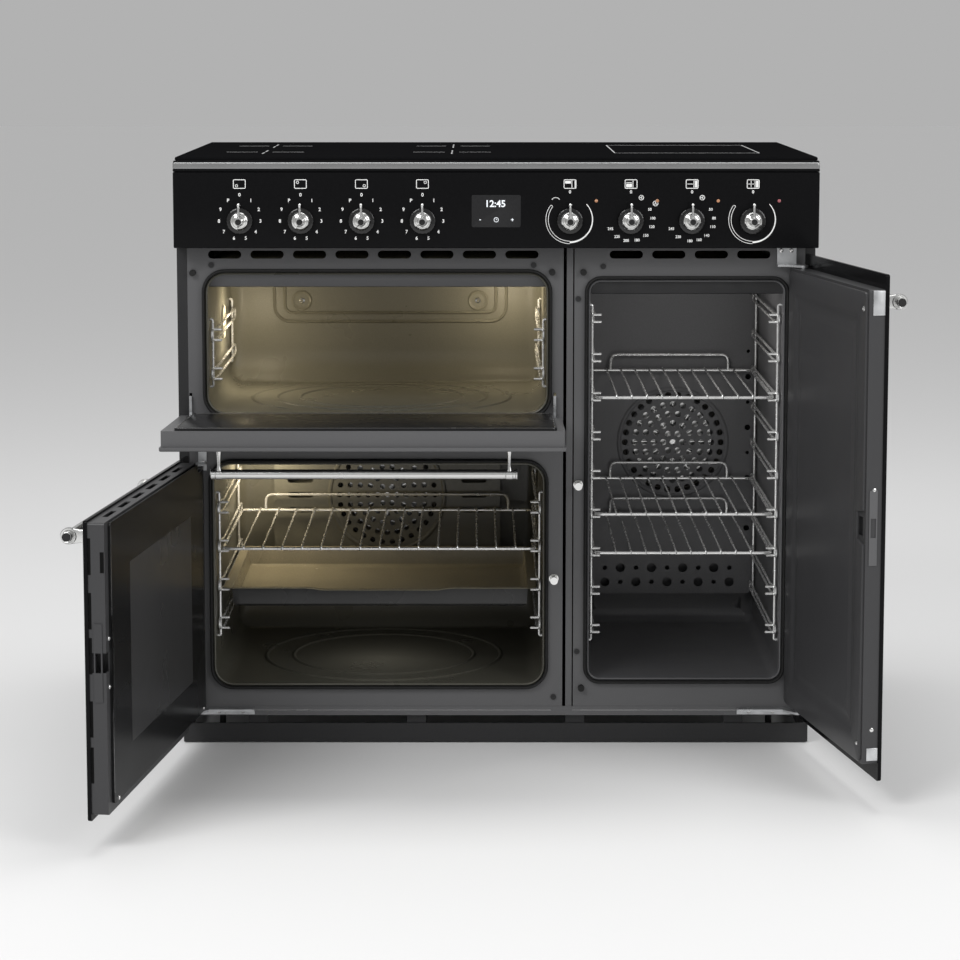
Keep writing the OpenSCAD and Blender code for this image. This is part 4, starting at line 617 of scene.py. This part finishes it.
def tray_shapes():
    """The enamelled tray: a rounded rectangle whose profile runs from the rolled rim down the
    sloping wall to the floor. The front rim dips in the middle, eased at both ends."""
    cx, w, *_ = MAIN
    x0, x1 = cx - w / 2 + SHELF_IN - 1, cx + w / 2 - SHELF_IN + 1
    z = MAIN_LEVELS[1] + RACK_R + REST_GAP
    low = z - 32
    outer = [(-40, low), (-24, low), (-19, low + 1.5), (-16, low + 5), (-14.2, z - 4),
             (-13, z - 0.6), (-11, z), (-3, z), (-1.2, z + 0.2), (-0.2, z + 0.8), (-1, z + 1.5),
             (-11.5, z + 1.4), (-14.5, z + 0.6), (-15.4, z - 4), (-17.2, low + 5.6),
             (-20, low + 2.9), (-24, low + 1.4), (-40, low + 1.4)]
    v, q, caps, mat = carried((x0, SHELF_Y0, x1, SHELF_Y1, 14), outer, capped=True, corner=10,
                              steps=(40, 1))
    v = v[:, [0, 2, 1]]
    across = np.clip((118 - np.abs(v[:, 0] - cx)) / 30, 0, 1)
    ahead = np.clip((SHELF_Y0 + 24 - v[:, 1]) / 10, 0, 1)
    up = np.clip((v[:, 2] - low - 8) / 16, 0, 1)
    v[:, 2] -= 3.2 * across * across * (3 - 2 * across) * ahead * up
    return [(v, q, caps, mat)]


class COOKER_OT_wirework(bpy.types.Operator):
    """Side racks, wire shelves and the tray"""
    bl_idname = "cooker.wirework"
    bl_label = "Racks, shelves and tray"

    def execute(self, context):
        racks = []
        for side in (-1, 1):
            racks += rack_wires(GRILL, side, GRILL_LEVELS, 17, 12)
            racks += rack_wires(MAIN, side, MAIN_LEVELS, 17, 40)
            racks += rack_wires(TALL, side, TALL_LEVELS, 11.5, 40)
        put("rack_wires", racks, ["Wire Chrome"], ("side_racks",))
        shelves = [("main", MAIN, MAIN_LEVELS[2], 15, 31)]
        shelves += [(f"tall_{k}", TALL, TALL_LEVELS[i], 10, 24) for k, i in enumerate((6, 3, 2), 1)]
        for name, oven, level, count, pitch in shelves:
            put(f"wire_shelf_{name}", shelf_wires(oven, level, count, pitch), ["Wire Chrome"],
                (f"shelf_{name}",), f"shelf_{name}")
        # faces that point downward, the outside of the sloping walls and the underside, take the
        # near-black finish: painted shade
        put("oven_tray", tray_shapes(), ["Tray Enamel", "Tray Outside"],
            ("tray_main",), "tray_main", pick=lambda n: np.where(n[:, 2] < -0.03, 1, 0))
        return {"FINISHED"}


# ---- hob and control panel ----

class COOKER_OT_hob(bpy.types.Operator):
    """Hob frame with a painted highlight band along its side, the glass and its zone marks"""
    bl_idname = "cooker.hob"
    bl_label = "Hob"

    def execute(self, context):
        def rect(inset, r):
            return -HALF_W + inset, FASCIA_Y + inset, HALF_W - inset, REAR_Y - inset, r

        low, z = RIM_LOW, GLASS_LOW
        rim = [(-8, low), (-0.8, low), (0, 916), (0, 918.6), (-0.7, 919.4)]
        # a band of brighter metal on the frame's side, between the gloss black rim and cap: a
        # painted highlight
        highlight_band = [(-0.7, 919.4), (-0.1, 919.9), (0, 921), (0, 927.6), (-0.2, 928.6), (-0.9, 929.2)]
        cap = [(-0.9, 929.2), (-1.0, z - 0.6), (-1.6, z), (-8, z)]
        parts = [laid(rect(0, 3), rim), laid(rect(0, 3), highlight_band, mat=1), laid(rect(0, 3), cap),
                 laid(rect(0, 3), [(-8, z), (-8, low)])]
        put("hob_rim", parts, ["Gloss Black", "Edge Trim"], ("hob_frame",))
        put("hob_base", [laid(rect(7, 3), [(0, 915), (0, 916.2)], capped=True)], ["Side Black"])
        edge = moved([(-1.6, 0), (-0.3, 0.8), (0, 2), (0, 3.6), (-0.6, 5.1)], z)
        edge.append((-2, TOP_Z - 0.22))
        put("hob_plate", [laid(rect(3, 5), edge, capped=True)], ["Hob Glass"],
            ("hob_glass",))
        lines = []
        for cx, cy in ZONES:
            lines += [((cx + a, cy), (cx + b, cy)) for a, b in CROSS_ARMS]
            lines += [((cx, cy + a), (cx, cy + b)) for a, b in CROSS_ARMS]
        lines += [(LARGE_ZONE[k - 1], LARGE_ZONE[k]) for k in (1, 2, 3, 0)]
        marks = [strip(line, 2.2, TOP_Z - 0.24, TOP_Z - 0.04) for line in lines]
        put("hob_marks", [(v[:, [0, 2, 1]], q, caps, m) for v, q, caps, m in marks], ["Zone Print"])
        return {"FINISHED"}


def glyphs(jobs, y, depth):
    """Letters as one mesh on the fascia. jobs are (text, x, z, height in mm). Each text is a
    curve turned into a mesh, scaled so that its capitals have that height, and centred."""
    out = []
    for text, x, z, high in jobs:
        curve = bpy.data.curves.new("glyph", "FONT")
        curve.body = text
        curve.extrude = 0.05
        curve.offset = 0.022
        curve.resolution_u = 3
        obj = bpy.data.objects.new("glyph", curve)
        bpy.context.scene.collection.objects.link(obj)
        bpy.context.view_layer.update()
        graph = bpy.context.evaluated_depsgraph_get()
        me = bpy.data.meshes.new_from_object(obj.evaluated_get(graph))
        co = np.zeros(len(me.vertices) * 3)
        me.vertices.foreach_get("co", co)
        co = co.reshape(-1, 3)
        flat = (co - (co.min(0) + co.max(0)) / 2) * (high / CAPITAL)
        back = y - depth / 2 - np.sign(flat[:, 2]) * depth / 2
        polys = [list(p.vertices) for p in me.polygons]
        out.append((np.stack([x + flat[:, 0], back, z + flat[:, 1]], -1),
                    np.zeros((0, 4), int), polys, 0))
        bpy.data.objects.remove(obj)
        bpy.data.meshes.remove(me)
        bpy.data.curves.remove(curve)
    return out


def arc(cx, cz, r, a0, a1, n=40):
    """Points of an arc of radius r, with angles in degrees clockwise from the top."""
    a = np.radians(np.linspace(a0, a1, n))
    return np.stack([cx + r * np.sin(a), cz + r * np.cos(a)], -1)


class COOKER_OT_panel(bpy.types.Operator):
    """Control panel, its printed scales, the display and the indicator lamps"""
    bl_idname = "cooker.panel"
    bl_label = "Control panel"

    def execute(self, context):
        depth = context.scene.cooker_sizes.print_depth / MM
        z0, z1 = FASCIA_Z
        front = moved([(0, 2.6), (-0.3, 1.2), (-1.1, 0.3), (-2.4, 0)], FASCIA_Y)
        prof = [(0, FACE_Y - 0.3)] + front
        put("fascia", [carried((-HALF_W, z0, HALF_W, z1, 2), prof, capped=True, corner=5)],
            ["Gloss Black"], ("control_panel",))
        y1, y0 = FASCIA_Y + 0.02, FASCIA_Y - depth
        marks, jobs = [], []

        def line(path, wide, loop=False):
            marks.append(strip(path, wide, y0, y1, loop))

        for x in DIAL_X[:4]:
            for i, text in enumerate("0123456789P"):
                a, r = math.radians(360 / 11 * i), 36.0 if i == 0 else 32.4
                jobs.append((text, x + r * math.sin(a), DIAL_Z + 4.5 + r * math.cos(a), 5.2))
        for x in (DIAL_X[4], DIAL_X[7]):
            cz = DIAL_Z + 2
            line(arc(x, cz, 35, 180, 47, 60), 2.6 * np.linspace(1.0, 0.35, 60) + 0.2)
            for r in (33.4, 37.2):
                line(arc(x, cz, r, 180, 305, 50), 0.8)
            end = arc(x, cz, 35.3, 305, 305, 2)[0]
            line([end + 1.9 * np.array([math.cos(t), math.sin(t)])
                  for t in np.linspace(-0.8, 2.4, 10)], 0.8)
            jobs.append(("0", x, DIAL_Z + 45, 4.8))
            if x < 200:
                line([(x - 28, DIAL_Z + 33), (x - 25.5, DIAL_Z + 35.5), (x - 22, DIAL_Z + 36.2),
                      (x - 18.5, DIAL_Z + 35.5), (x - 16, DIAL_Z + 33)], 0.9)
        for i, scale in SCALES.items():
            x = DIAL_X[i]
            for a, text in scale:
                t = math.radians(a)
                jobs.append((text, x + 34.5 * math.sin(t), DIAL_Z + 1 + 32 * math.cos(t), 4.1))
            jobs.append(("0", x, DIAL_Z + 45, 4.8))
            fans = [(x + 16, DIAL_Z + 36, 3.6, 30), (x + 38, DIAL_Z + 27, 3.8, 0)]
            for cx, cz, r, turn in fans if i == 5 else fans[:1]:
                line(arc(cx, cz, r, 0, 345, 24), 0.85, loop=True)
                for k in range(3):
                    t = math.radians(120 * k + turn)
                    line([(cx, cz), (cx + (r - 1) * math.sin(t), cz + (r - 1) * math.cos(t))], 1.25)
        for i, x in enumerate(DIAL_X):
            cz = DIAL_Z + 57
            line(rect_loop(x - 9.2, cz - 6.6, x + 9.2, cz + 6.6, 1.5, 4), 1.1, loop=True)
            if i in SIGNS:
                for a, b, c, d in ((2.4, -5.6, 3.4, 5.6),) + SIGNS[i]:
                    marks.append(carried((x + a, cz + b, x + c, cz + d, 0.3), [(0, y1), (0, y0)],
                                         capped=True, corner=2))
            else:
                left, low = i in (0, 1), i in (0, 2)
                zone = x + (-4.4 if left else 4.4), cz + (-2.6 if low else 2.6)
                line(arc(*zone, 1.9, 0, 340, 14), 0.8, loop=True)
        put("dial_marks", marks, ["Print"])
        put("dial_digits", glyphs(jobs, FASCIA_Y + 0.02, depth), ["Print"])
        face = FASCIA_Y - 0.6
        prof = moved([(0, 1), (0, -0.25), (-0.5, -0.6)], FASCIA_Y)
        put("display_window", [carried((-38, 829.2, 38, 879.2, 3), prof, capped=True, corner=4)],
            ["Display Glass"], ("display_module",))
        signs = (("12:45", -0.5, 866, 10.2), ("-", -25, 841, 6), ("+", 25, 841, 6))
        digits = glyphs(signs, face + 0.02, depth)
        digits += [strip(path, wide, face - depth, face + 0.02, loop) for path, wide, loop in (
            (arc(0, 841, 3.4, 0, 345, 24), 0.8, True), ([(0, 841), (0, 843.3)], 0.7, False),
            ([(0, 841), (1.6, 841)], 0.7, False))]
        put("display_digits", digits, ["Display Glow"])
        front = moved([(2.6, -0.4), (2.2, -0.9), (1.2, -1.25), (0.01, -1.35)], FASCIA_Y)
        prof = [(0.01, -4), (2.6, -4)] + front
        jewels = [lathe(prof, (x + 40.7, 0, DIAL_Z + 31), "y", 24, mat=0 if i < 3 else 1)
                  for i, x in enumerate(DIAL_X[4:])]
        put("indicator_jewels", jewels, ["Amber Jewel", "Red Jewel"],
            ("indicator_lamps",))
        return {"FINISHED"}


# ---- dials ----

def knob_shapes(x):
    """A dial: a fluted black skirt, a turned chrome disc, a boss with a dark button, and a
    tapering pointer that ends in a ball. Each is a profile turned about its axis."""
    y = FASCIA_Y - 0.3
    c = (x, y, DIAL_Z)
    skirt = [(0.01, 0), (19.6, 0), (20.4, -0.6), (20.4, -4.6), (19.6, -6.2), (17.8, -7),
             (14, -7.1), (13.8, -6.4), (0.01, -6.4)]
    disc = [(0.01, -6.6), (14.4, -6.6), (14.5, -8.6), (13.9, -10.4), (12.8, -11.8), (11.6, -12.4),
            (10.8, -12.2), (9.8, -11.6), (8.4, -12.2), (7.2, -14.5), (6.6, -18), (6.4, -22),
            (6.7, -27), (7.0, -28.6), (6.7, -30.2), (5.6, -31), (4.9, -31), (4.7, -30.4),
            (0.01, -30.4)]
    button = [(0.01, -30.3), (4.5, -30.3), (4.5, -31.2), (3.9, -31.8), (0.01, -32)]
    neck = [(0.01, 2.0), (2.6, 2.2), (2.3, 8), (2.0, 16), (1.9, 22), (2.0, 23.6), (2.5, 24.4),
            (2.8, 25.8), (2.6, 27.2), (1.7, 28.2), (0.01, 28.6)]
    shaft = [(0.01, 21), (3.0, 21), (3.0, -1), (0.01, -1)]
    return [lathe(skirt, c, "y", 96, ripple=0.012), lathe(disc, c, "y", 48, mat=1),
            lathe(button, c, "y", 32), lathe(neck, (x, y - 23.5, DIAL_Z), "z", 16, mat=1),
            lathe(shaft, c, "y", 16, mat=1)]


class COOKER_OT_knobs(bpy.types.Operator):
    """The eight dials"""
    bl_idname = "cooker.knobs"
    bl_label = "Dials"

    def execute(self, context):
        for i, x in enumerate(DIAL_X, 1):
            put(f"dial_{i}", knob_shapes(x), ["Black Gloss Ring", "Chrome"],
                (f"knob_{i}",), f"knob_{i}")
        return {"FINISHED"}


# ---- doors ----

def outer_panel(x0, z0, x1, z1):
    """A door's outer panel: a flat plate with a turned front edge."""
    front = moved([(0, 2.2), (-0.4, 0.9), (-1.3, 0.2), (-2.6, 0)], DOOR_FRONT)
    return carried((x0, z0, x1, z1, 3.5), [(0, SKIN_BACK)] + front, capped=True, corner=5)


def post(x, z, half_x, half_z, y1):
    """A handle's post at (x, z), from the door's front to y1: a rounded bar whose section grows
    towards the bar and towards the door."""
    y0 = DOOR_FRONT - 0.1
    rows = []
    for t, g in ((0, 1.2), (0.12, 0.5), (0.3, 0), (0.75, -0.6), (0.92, 0.2), (1, 0.8)):
        loop = rect_loop(x - half_x - g, z - half_z - g, x + half_x + g, z + half_z + g, 2.4, 5)
        rows.append(np.insert(loop, 1, y0 + (y1 - y0) * t, axis=1))
    return skin(np.array(rows), True, False, True)


def bar_ends(x0, x1, half):
    """A bar's profile from x0 to x1, made from the profile of one end and its mirror image."""
    return [(r, x0 + t) for r, t in half] + [(r, x1 - t) for r, t in half[::-1]]


def side_handle(x0, x1, z):
    """A side door's handle: a round bar held in two eyes, each on a block that stands on the
    door, with a dark plug sunk in each end of the bar."""
    y = DOOR_FRONT - SIDE_STANDOFF
    c = (0, y, z)
    half = [(0.01, 1.4), (6.3, 1.4), (6.4, 0.2), (6.8, 0), (7.3, 0.3), (BAR_R, 0.9)]
    shapes = [lathe(bar_ends(x0, x1, half), c, "x", 40)]
    for end, s in ((x0, 1), (x1, -1)):
        plug = [(r, end + s * t) for r, t in ((0.01, 0.7), (6.2, 0.7), (6.2, 1.5), (0.01, 1.5))]
        shapes.append(lathe(plug, c, "x", 32, mat=1))
        x = end + s * POST_IN
        eye = bar_ends(x - 4.5, x + 4.5, [(BAR_R - 0.1, 0.3), (8.3, 0), (10.9, 0), (EYE_R, 1.2)])
        shapes.append(lathe(eye + eye[:1], c, "x", 40))
        shapes.append(post(x, z, 3.4, 10.2, y + 7))
    return shapes


class COOKER_OT_doors(bpy.types.Operator):
    """Door panels, glass, trims and painted highlight lines, painted shade in a recess and slots,
    latch plates and handles
    """
    bl_idname = "cooker.doors"
    bl_label = "Doors"

    def execute(self, context):
        collar = context.scene.cooker_sizes.collar / MM
        face = DOOR_FACE

        def hang(name, door, shapes, finishes, replaces=(), pick=None):
            put(name, swing(door, shapes), finishes, replaces, door, pick=pick)

        for door, rect, edge in (
                ("grill_door", (LEFT_EDGE, GRILL_LOW, LEFT_FREE, DOOR_TOP), "Front Enamel"),
                ("main_door", (LEFT_EDGE, DOOR_LOW, LEFT_FREE, MAIN_TOP), "Gloss Black"),
                ("tall_door", (TALL_FREE, DOOR_LOW, RIGHT_EDGE, DOOR_TOP), "Gloss Black")):
            _, angle, upright = HINGES[door]
            front = turned([(0, -1, 0)], (0, 0), angle, upright)[0]
            hang(f"{door}_panel", door, [outer_panel(*rect)], ["Door Glass", edge],
                 (f"{door}_skin",), pick=lambda n: np.where(n @ front > 0.9, 0, 1))

        # grill door: black pane with a ground edge, and a bead round it
        x0, x1 = -476.6, 88.6
        prof = [(0, CORE_BACK + 0.1)] + moved([(0, -0.9), (-0.3, -0.3), (-0.9, 0)], face)
        pane = carried((x0, 504, x1, 774, 6.0), prof, capped=True, corner=6)
        prof = moved([(0.5, -0.3), (0.4, 0.2), (-0.6, 0.4), (-1.8, 0.2), (-2.2, -0.3)], face)
        bead = carried((x0 + 1.5, 505.5, x1 - 1.5, 772.5, 5), prof, closed=True, corner=6, mat=1)
        hang("grill_pane", "grill_door", [pane, bead], ["Door Glass", "Edge Trim"],
             ("grill_door_glass",))

        # main door: window, edge line drawn as a painted highlight, painted shade in the latch
        # recess and in the slots, and screws on the solid pane
        window = carried((LEFT_EDGE + 108, 128, LEFT_FREE - 122, 388, 2),
                         [(0, face - 0.2), (0, face + 0.12)], capped=True, corner=3)
        hang("main_window", "main_door", [window], ["Glass Window"])
        xe, low, high = 82.2, 196, 330    # the edge line, and the recess's ends
        # a thin strip of brighter metal along the door's free edge, arching round the latch recess:
        # a painted highlight
        edge = [carried((xe - 1.2, z0, xe + 0.2, z1, 0.5), [(0, face - 1.5), (0, face + 0.35)],
                        capped=True, corner=2) for z0, z1 in ((80, low), (high, 456))]
        t = np.linspace(0, 1, 24)
        arch = np.stack([xe - 0.5 - 6 * np.sin(np.pi * t), low + (high - low) * t], -1)
        edge.append(strip(arch, 1.3, face - 0.3, face + 0.35))
        hang("main_edge_trim", "main_door", edge, ["Edge Trim"])
        # a near-black sheet flush with the door face where the latch recess is: painted shade
        recess_shade_outline = np.concatenate([arch, [(xe + 1, high), (xe + 1, low)]])
        rows = [np.insert(recess_shade_outline, 1, y, axis=1) for y in (face - 1, face + 0.1)]
        hang("main_latch_recess", "main_door", [skin(np.array(rows), True, False, True)],
             ["Dark Hollow"])
        heads = ((86.5, CORE_BACK, 300, 3.4), (86.5, CORE_BACK, 232, 3.4), (60, face, 68, 3.2),
                 (-460, face, 70, 3.2))
        hang("main_door_screws", "main_door", [screw(*head, 1) for head in heads], ["Chrome"])
        # near-black blocks inside the door's slots: painted shade
        slot_shades = [(SKIN_BACK + 0.3, SKIN_BACK + 4.3, z, z + 51) for z in (98, 163, 252, 315, 391)]
        slot_shades.append((CORE_BACK - 6.5, CORE_BACK - 1, 394, 423))
        slot_shades = [block((LEFT_FREE - 2.2, y0, z0), (LEFT_FREE - 1.7, y1, z1), 0.15)
                 for y0, y1, z0, z1 in slot_shades]
        hang("main_door_slots", "main_door", slot_shades, ["Dark Hollow"])

        # tall door: pressed inner panel, notched at the latch, with corner plates and screws
        xa = TALL_FREE + 6
        pressed = moved([(0, -1.6), (-0.4, -0.6), (-1.6, 0), (-32, 0), (-35, -0.3), (-38, -1.2),
                         (-42, -2.3), (-46, -2.8), (-50, -2.9), (-54, -2.6), (-58, -1.7),
                         (-62, -1.0), (-66, -0.8)], face)
        v, q, caps, mat = carried((xa, 73.0, RIGHT_EDGE - 6, 760.0, 9),
                                  [(0, CORE_BACK + 0.1)] + pressed, capped=True, steps=(1, 120))
        notch = TALL_LATCH[0] + 9
        near = (np.abs(v[:, 2] - TALL_LATCH[1]) < 22) & (v[:, 0] < notch)
        v[:, 0] += np.where(near, notch - xa, 0)
        hang("tall_lining", "tall_door", [(v, q, caps, mat)], ["Door Enamel"],
             ("tall_door_liner",))
        xf = TALL_FREE + 2
        plates = [block((xf - 1.3, SKIN_BACK + 0.4, z0), (xf + 0.2, SKIN_BACK + y1, z1), 0.6)
                  for y1, z0, z1 in ((18.4, 727, 763), (17.4, 75, 94))]
        hang("tall_corner_plates", "tall_door", plates, ["Zinc Plate"])
        prof = moved([(0.01, -0.1), (3.2, -0.1), (3.0, -0.9), (1.6, -1.5), (0.01, -1.6)], xf)
        side = [lathe(prof, (0, SKIN_BACK + y, z), "x", 20) for z, y in ((121, 10), (474, 12))]
        side += [screw(120, face, 736, 4.2, 1), screw(120, face, 100, 3.4, 1)]
        hang("tall_door_screws", "tall_door", side, ["Chrome"])

        # handles
        x0, x1 = LEFT_EDGE + HANDLE_IN, LEFT_FREE - HANDLE_IN
        y, z = DOOR_FRONT - GRILL_STANDOFF, DOOR_TOP - HANDLE_DROP
        half = [(0.01, 0), (6.6, 0), (7.2, 0.6), (collar, 1.4), (collar, 3.2), (7.3, 4.0),
                (7.3, 7.4), (collar, 8.2), (collar, 17.8), (7.3, 18.6)]
        shapes = [lathe(bar_ends(x0, x1, half), (0, y, z), "x", 40)]
        shapes += [post(x, z, 3.0, 5.4, y + 5) for x in (x0 + POST_IN, x1 - POST_IN)]
        hang("grill_bar", "grill_door", shapes, ["Satin Steel"], ("grill_door_handle",))
        for door, x0, x1, z in (("main_door", LEFT_EDGE, LEFT_FREE, MAIN_TOP - MAIN_HANDLE_DROP),
                                ("tall_door", TALL_FREE, RIGHT_EDGE, DOOR_TOP - HANDLE_DROP)):
            hang(f"{door}_bar", door, side_handle(x0 + HANDLE_IN, x1 - HANDLE_IN, z),
                 ["Satin Steel", "Black Plastic"], (f"{door}_handle",))
        return {"FINISHED"}


# ---- finishes on the solids that stay ----

class COOKER_OT_solids(bpy.types.Operator):
    """Finishes on the solids that stay in view, painted highlights along the frames' lower edges,
    and small fixings
    """
    bl_idname = "cooker.solids"
    bl_label = "Solids' finishes"

    def execute(self, context):
        picks = {
            "Side Black": "side_panels plinth frame_screws",
            "Galvanised": "back_panel fan_motors",
            "Front Enamel": "base_tray centre_post front_frame_left front_frame_right "
                            "grill_door_core tall_door_fittings",
            "Foot Plastic": "feet rotary_switches",
            "Mineral Wool": "insulation",
            "Oven Enamel Warm": "fan_cover_main",
            "Oven Enamel Grey": "fan_cover_tall",
            "Element Steel": "heating_elements",
            "Lamp Glass": "oven_lamps",
            "Coil Copper": "hob_modules",
            "Chrome": "latch_studs",
            "Seal Rubber": "door_bumpers",
            "Zinc Plate": "hinge_brackets",
            "Black Plastic": "terminal_block",
            "Door Enamel": "main_door_core main_door_fittings tall_door_core",
            "Door Glass": "main_door_glass",
            "Satin Steel": "fan_main fan_tall"}
        for name, nodes in picks.items():
            for node in nodes.split():
                me = frame["nodes"][node].data
                me.materials.clear()
                me.materials.append(material(name))
        # thin strips of brighter metal along the front frames' lower edges: painted highlights on
        # their rounded edges
        lines = [block((x0, FACE_Y - 0.5, 53.8), (x1, FACE_Y + 0.2, 55.0), 0.2)
                 for x0, x1 in ((-480, 88), (122, 480))]
        put("frame_lower_edges", lines, ["Edge Trim"])
        heads = ((462, 790), (446, 790), (-462, 455), (-404, 53.5), (-442, 53.5), (404, 53.5),
                 (442, 53.5))
        put("bracket_screws", [screw(x, FACE_Y - 3.1, z, 3.6) for x, z in heads], ["Chrome"])
        rings = []
        for k, (oven, cx, cz, r) in enumerate(FAN_COVERS):
            prof = moved([(r - 4, 0.1), (r - 2.5, -0.9), (r, -1.3), (r + 2.5, -0.9), (r + 4, 0.1),
                          (r - 4, 0.1)], FACE_Y + oven[5] - 32)
            rings.append(lathe(prof, (cx, 0, cz), "y", 72, mat=k))
        put("cover_ridges", rings, ["Oven Enamel Warm", "Oven Enamel Grey"])
        return {"FINISHED"}


# ---- studio ----

class COOKER_OT_stage(bpy.types.Operator):
    """Pale floor, soft lamps, the ovens' own light and the camera"""
    bl_idname = "cooker.stage"
    bl_label = "Studio and camera"

    def execute(self, context):
        scene = context.scene
        scene.view_settings.view_transform = "Standard"
        me = bpy.data.meshes.new("studio_floor")
        half = FLOOR_HALF
        corners = [(-half, -half, 0), (half, -half, 0), (half, half, 0), (-half, half, 0)]
        me.from_pydata(corners, [], [(0, 1, 2, 3)])
        me.materials.append(material("Studio Floor"))
        floor = bpy.data.objects.new("studio_floor", me)
        scene.collection.objects.link(floor)

        def lamp(name, kind, place, power):
            data = bpy.data.lights.new(name, kind)
            data.energy = power
            obj = bpy.data.objects.new(name, data)
            obj.location = place
            scene.collection.objects.link(obj)
            return obj, data

        for name, place, aim, size, power in STUDIO_LAMPS:
            obj, data = lamp(name, "AREA", place, power)
            data.shape = "RECTANGLE"
            data.size, data.size_y = size
            d = np.array(aim, float) - np.array(place, float)
            pitch = math.atan2(math.hypot(d[0], d[1]), -d[2])
            obj.rotation_euler = (pitch, 0, math.atan2(-d[0], d[1]))
        for name, place, power, tint in OVEN_LAMPS:
            obj, data = lamp(name, "POINT", place, power)
            data.color = tint
            data.shadow_soft_size = LAMP_R
            obj.visible_camera = obj.visible_glossy = False
        world = bpy.data.worlds.new("Studio")
        scene.world = world
        world.use_nodes = True
        nt = world.node_tree
        back = preset(nt.nodes["Background"], {"Color": (1, 1, 1, 1)})
        path = nt.nodes.new("ShaderNodeLightPath")
        seen = path.outputs["Is Camera Ray"]
        for ray in ("Is Glossy Ray", "Is Transmission Ray"):
            both = nt.nodes.new("ShaderNodeMath")
            both.operation = "MAXIMUM"
            nt.links.new(seen, both.inputs[0])
            nt.links.new(path.outputs[ray], both.inputs[1])
            seen = both.outputs[0]
        level = preset(nt.nodes.new("ShaderNodeMapRange"), {"To Min": AMBIENT, "To Max": BACKDROP})
        nt.links.new(seen, level.inputs["Value"])
        nt.links.new(level.outputs["Result"], back.inputs["Strength"])

        cam = bpy.data.cameras.new("camera")
        cam.sensor_width = 36
        cam.lens = CAMERA_LENS
        cam.shift_y = CAMERA_SHIFT
        cam.clip_end = 200
        obj = bpy.data.objects.new("camera", cam)
        scene.collection.objects.link(obj)
        obj.location = CAMERA_AT
        obj.rotation_euler = (math.radians(90 - CAMERA_TILT), 0, 0)
        scene.camera = obj
        return {"FINISHED"}


class COOKER_PT_panel(bpy.types.Panel):
    """Lists the cooker's operators and settings"""
    bl_idname = "COOKER_PT_panel"
    bl_label = "Range Cooker"
    bl_space_type = "VIEW_3D"
    bl_region_type = "UI"
    bl_category = "Cooker"

    def draw(self, context):
        for group in (context.scene.cooker_colours, context.scene.cooker_sizes):
            box = self.layout.box()
            for key in group.bl_rna.properties.keys():
                if key not in ("rna_type", "name"):
                    box.prop(group, key)
        for op in OPERATORS:
            self.layout.operator(op.bl_idname)


OPERATORS = (COOKER_OT_ovens, COOKER_OT_wirework, COOKER_OT_hob, COOKER_OT_panel, COOKER_OT_knobs,
             COOKER_OT_doors, COOKER_OT_solids, COOKER_OT_stage)
CLASSES = (CookerColours, CookerSizes) + OPERATORS + (COOKER_PT_panel,)


def register():
    for cls in CLASSES:
        bpy.utils.register_class(cls)
    bpy.types.Scene.cooker_colours = PointerProperty(type=CookerColours)
    bpy.types.Scene.cooker_sizes = PointerProperty(type=CookerSizes)


def unregister():
    del bpy.types.Scene.cooker_sizes
    del bpy.types.Scene.cooker_colours
    for cls in reversed(CLASSES):
        bpy.utils.unregister_class(cls)


def main():
    register()
    for op in OPERATORS:
        group, name = op.bl_idname.split(".")
        getattr(getattr(bpy.ops, group), name)()


if __name__ == "__main__":
    main()
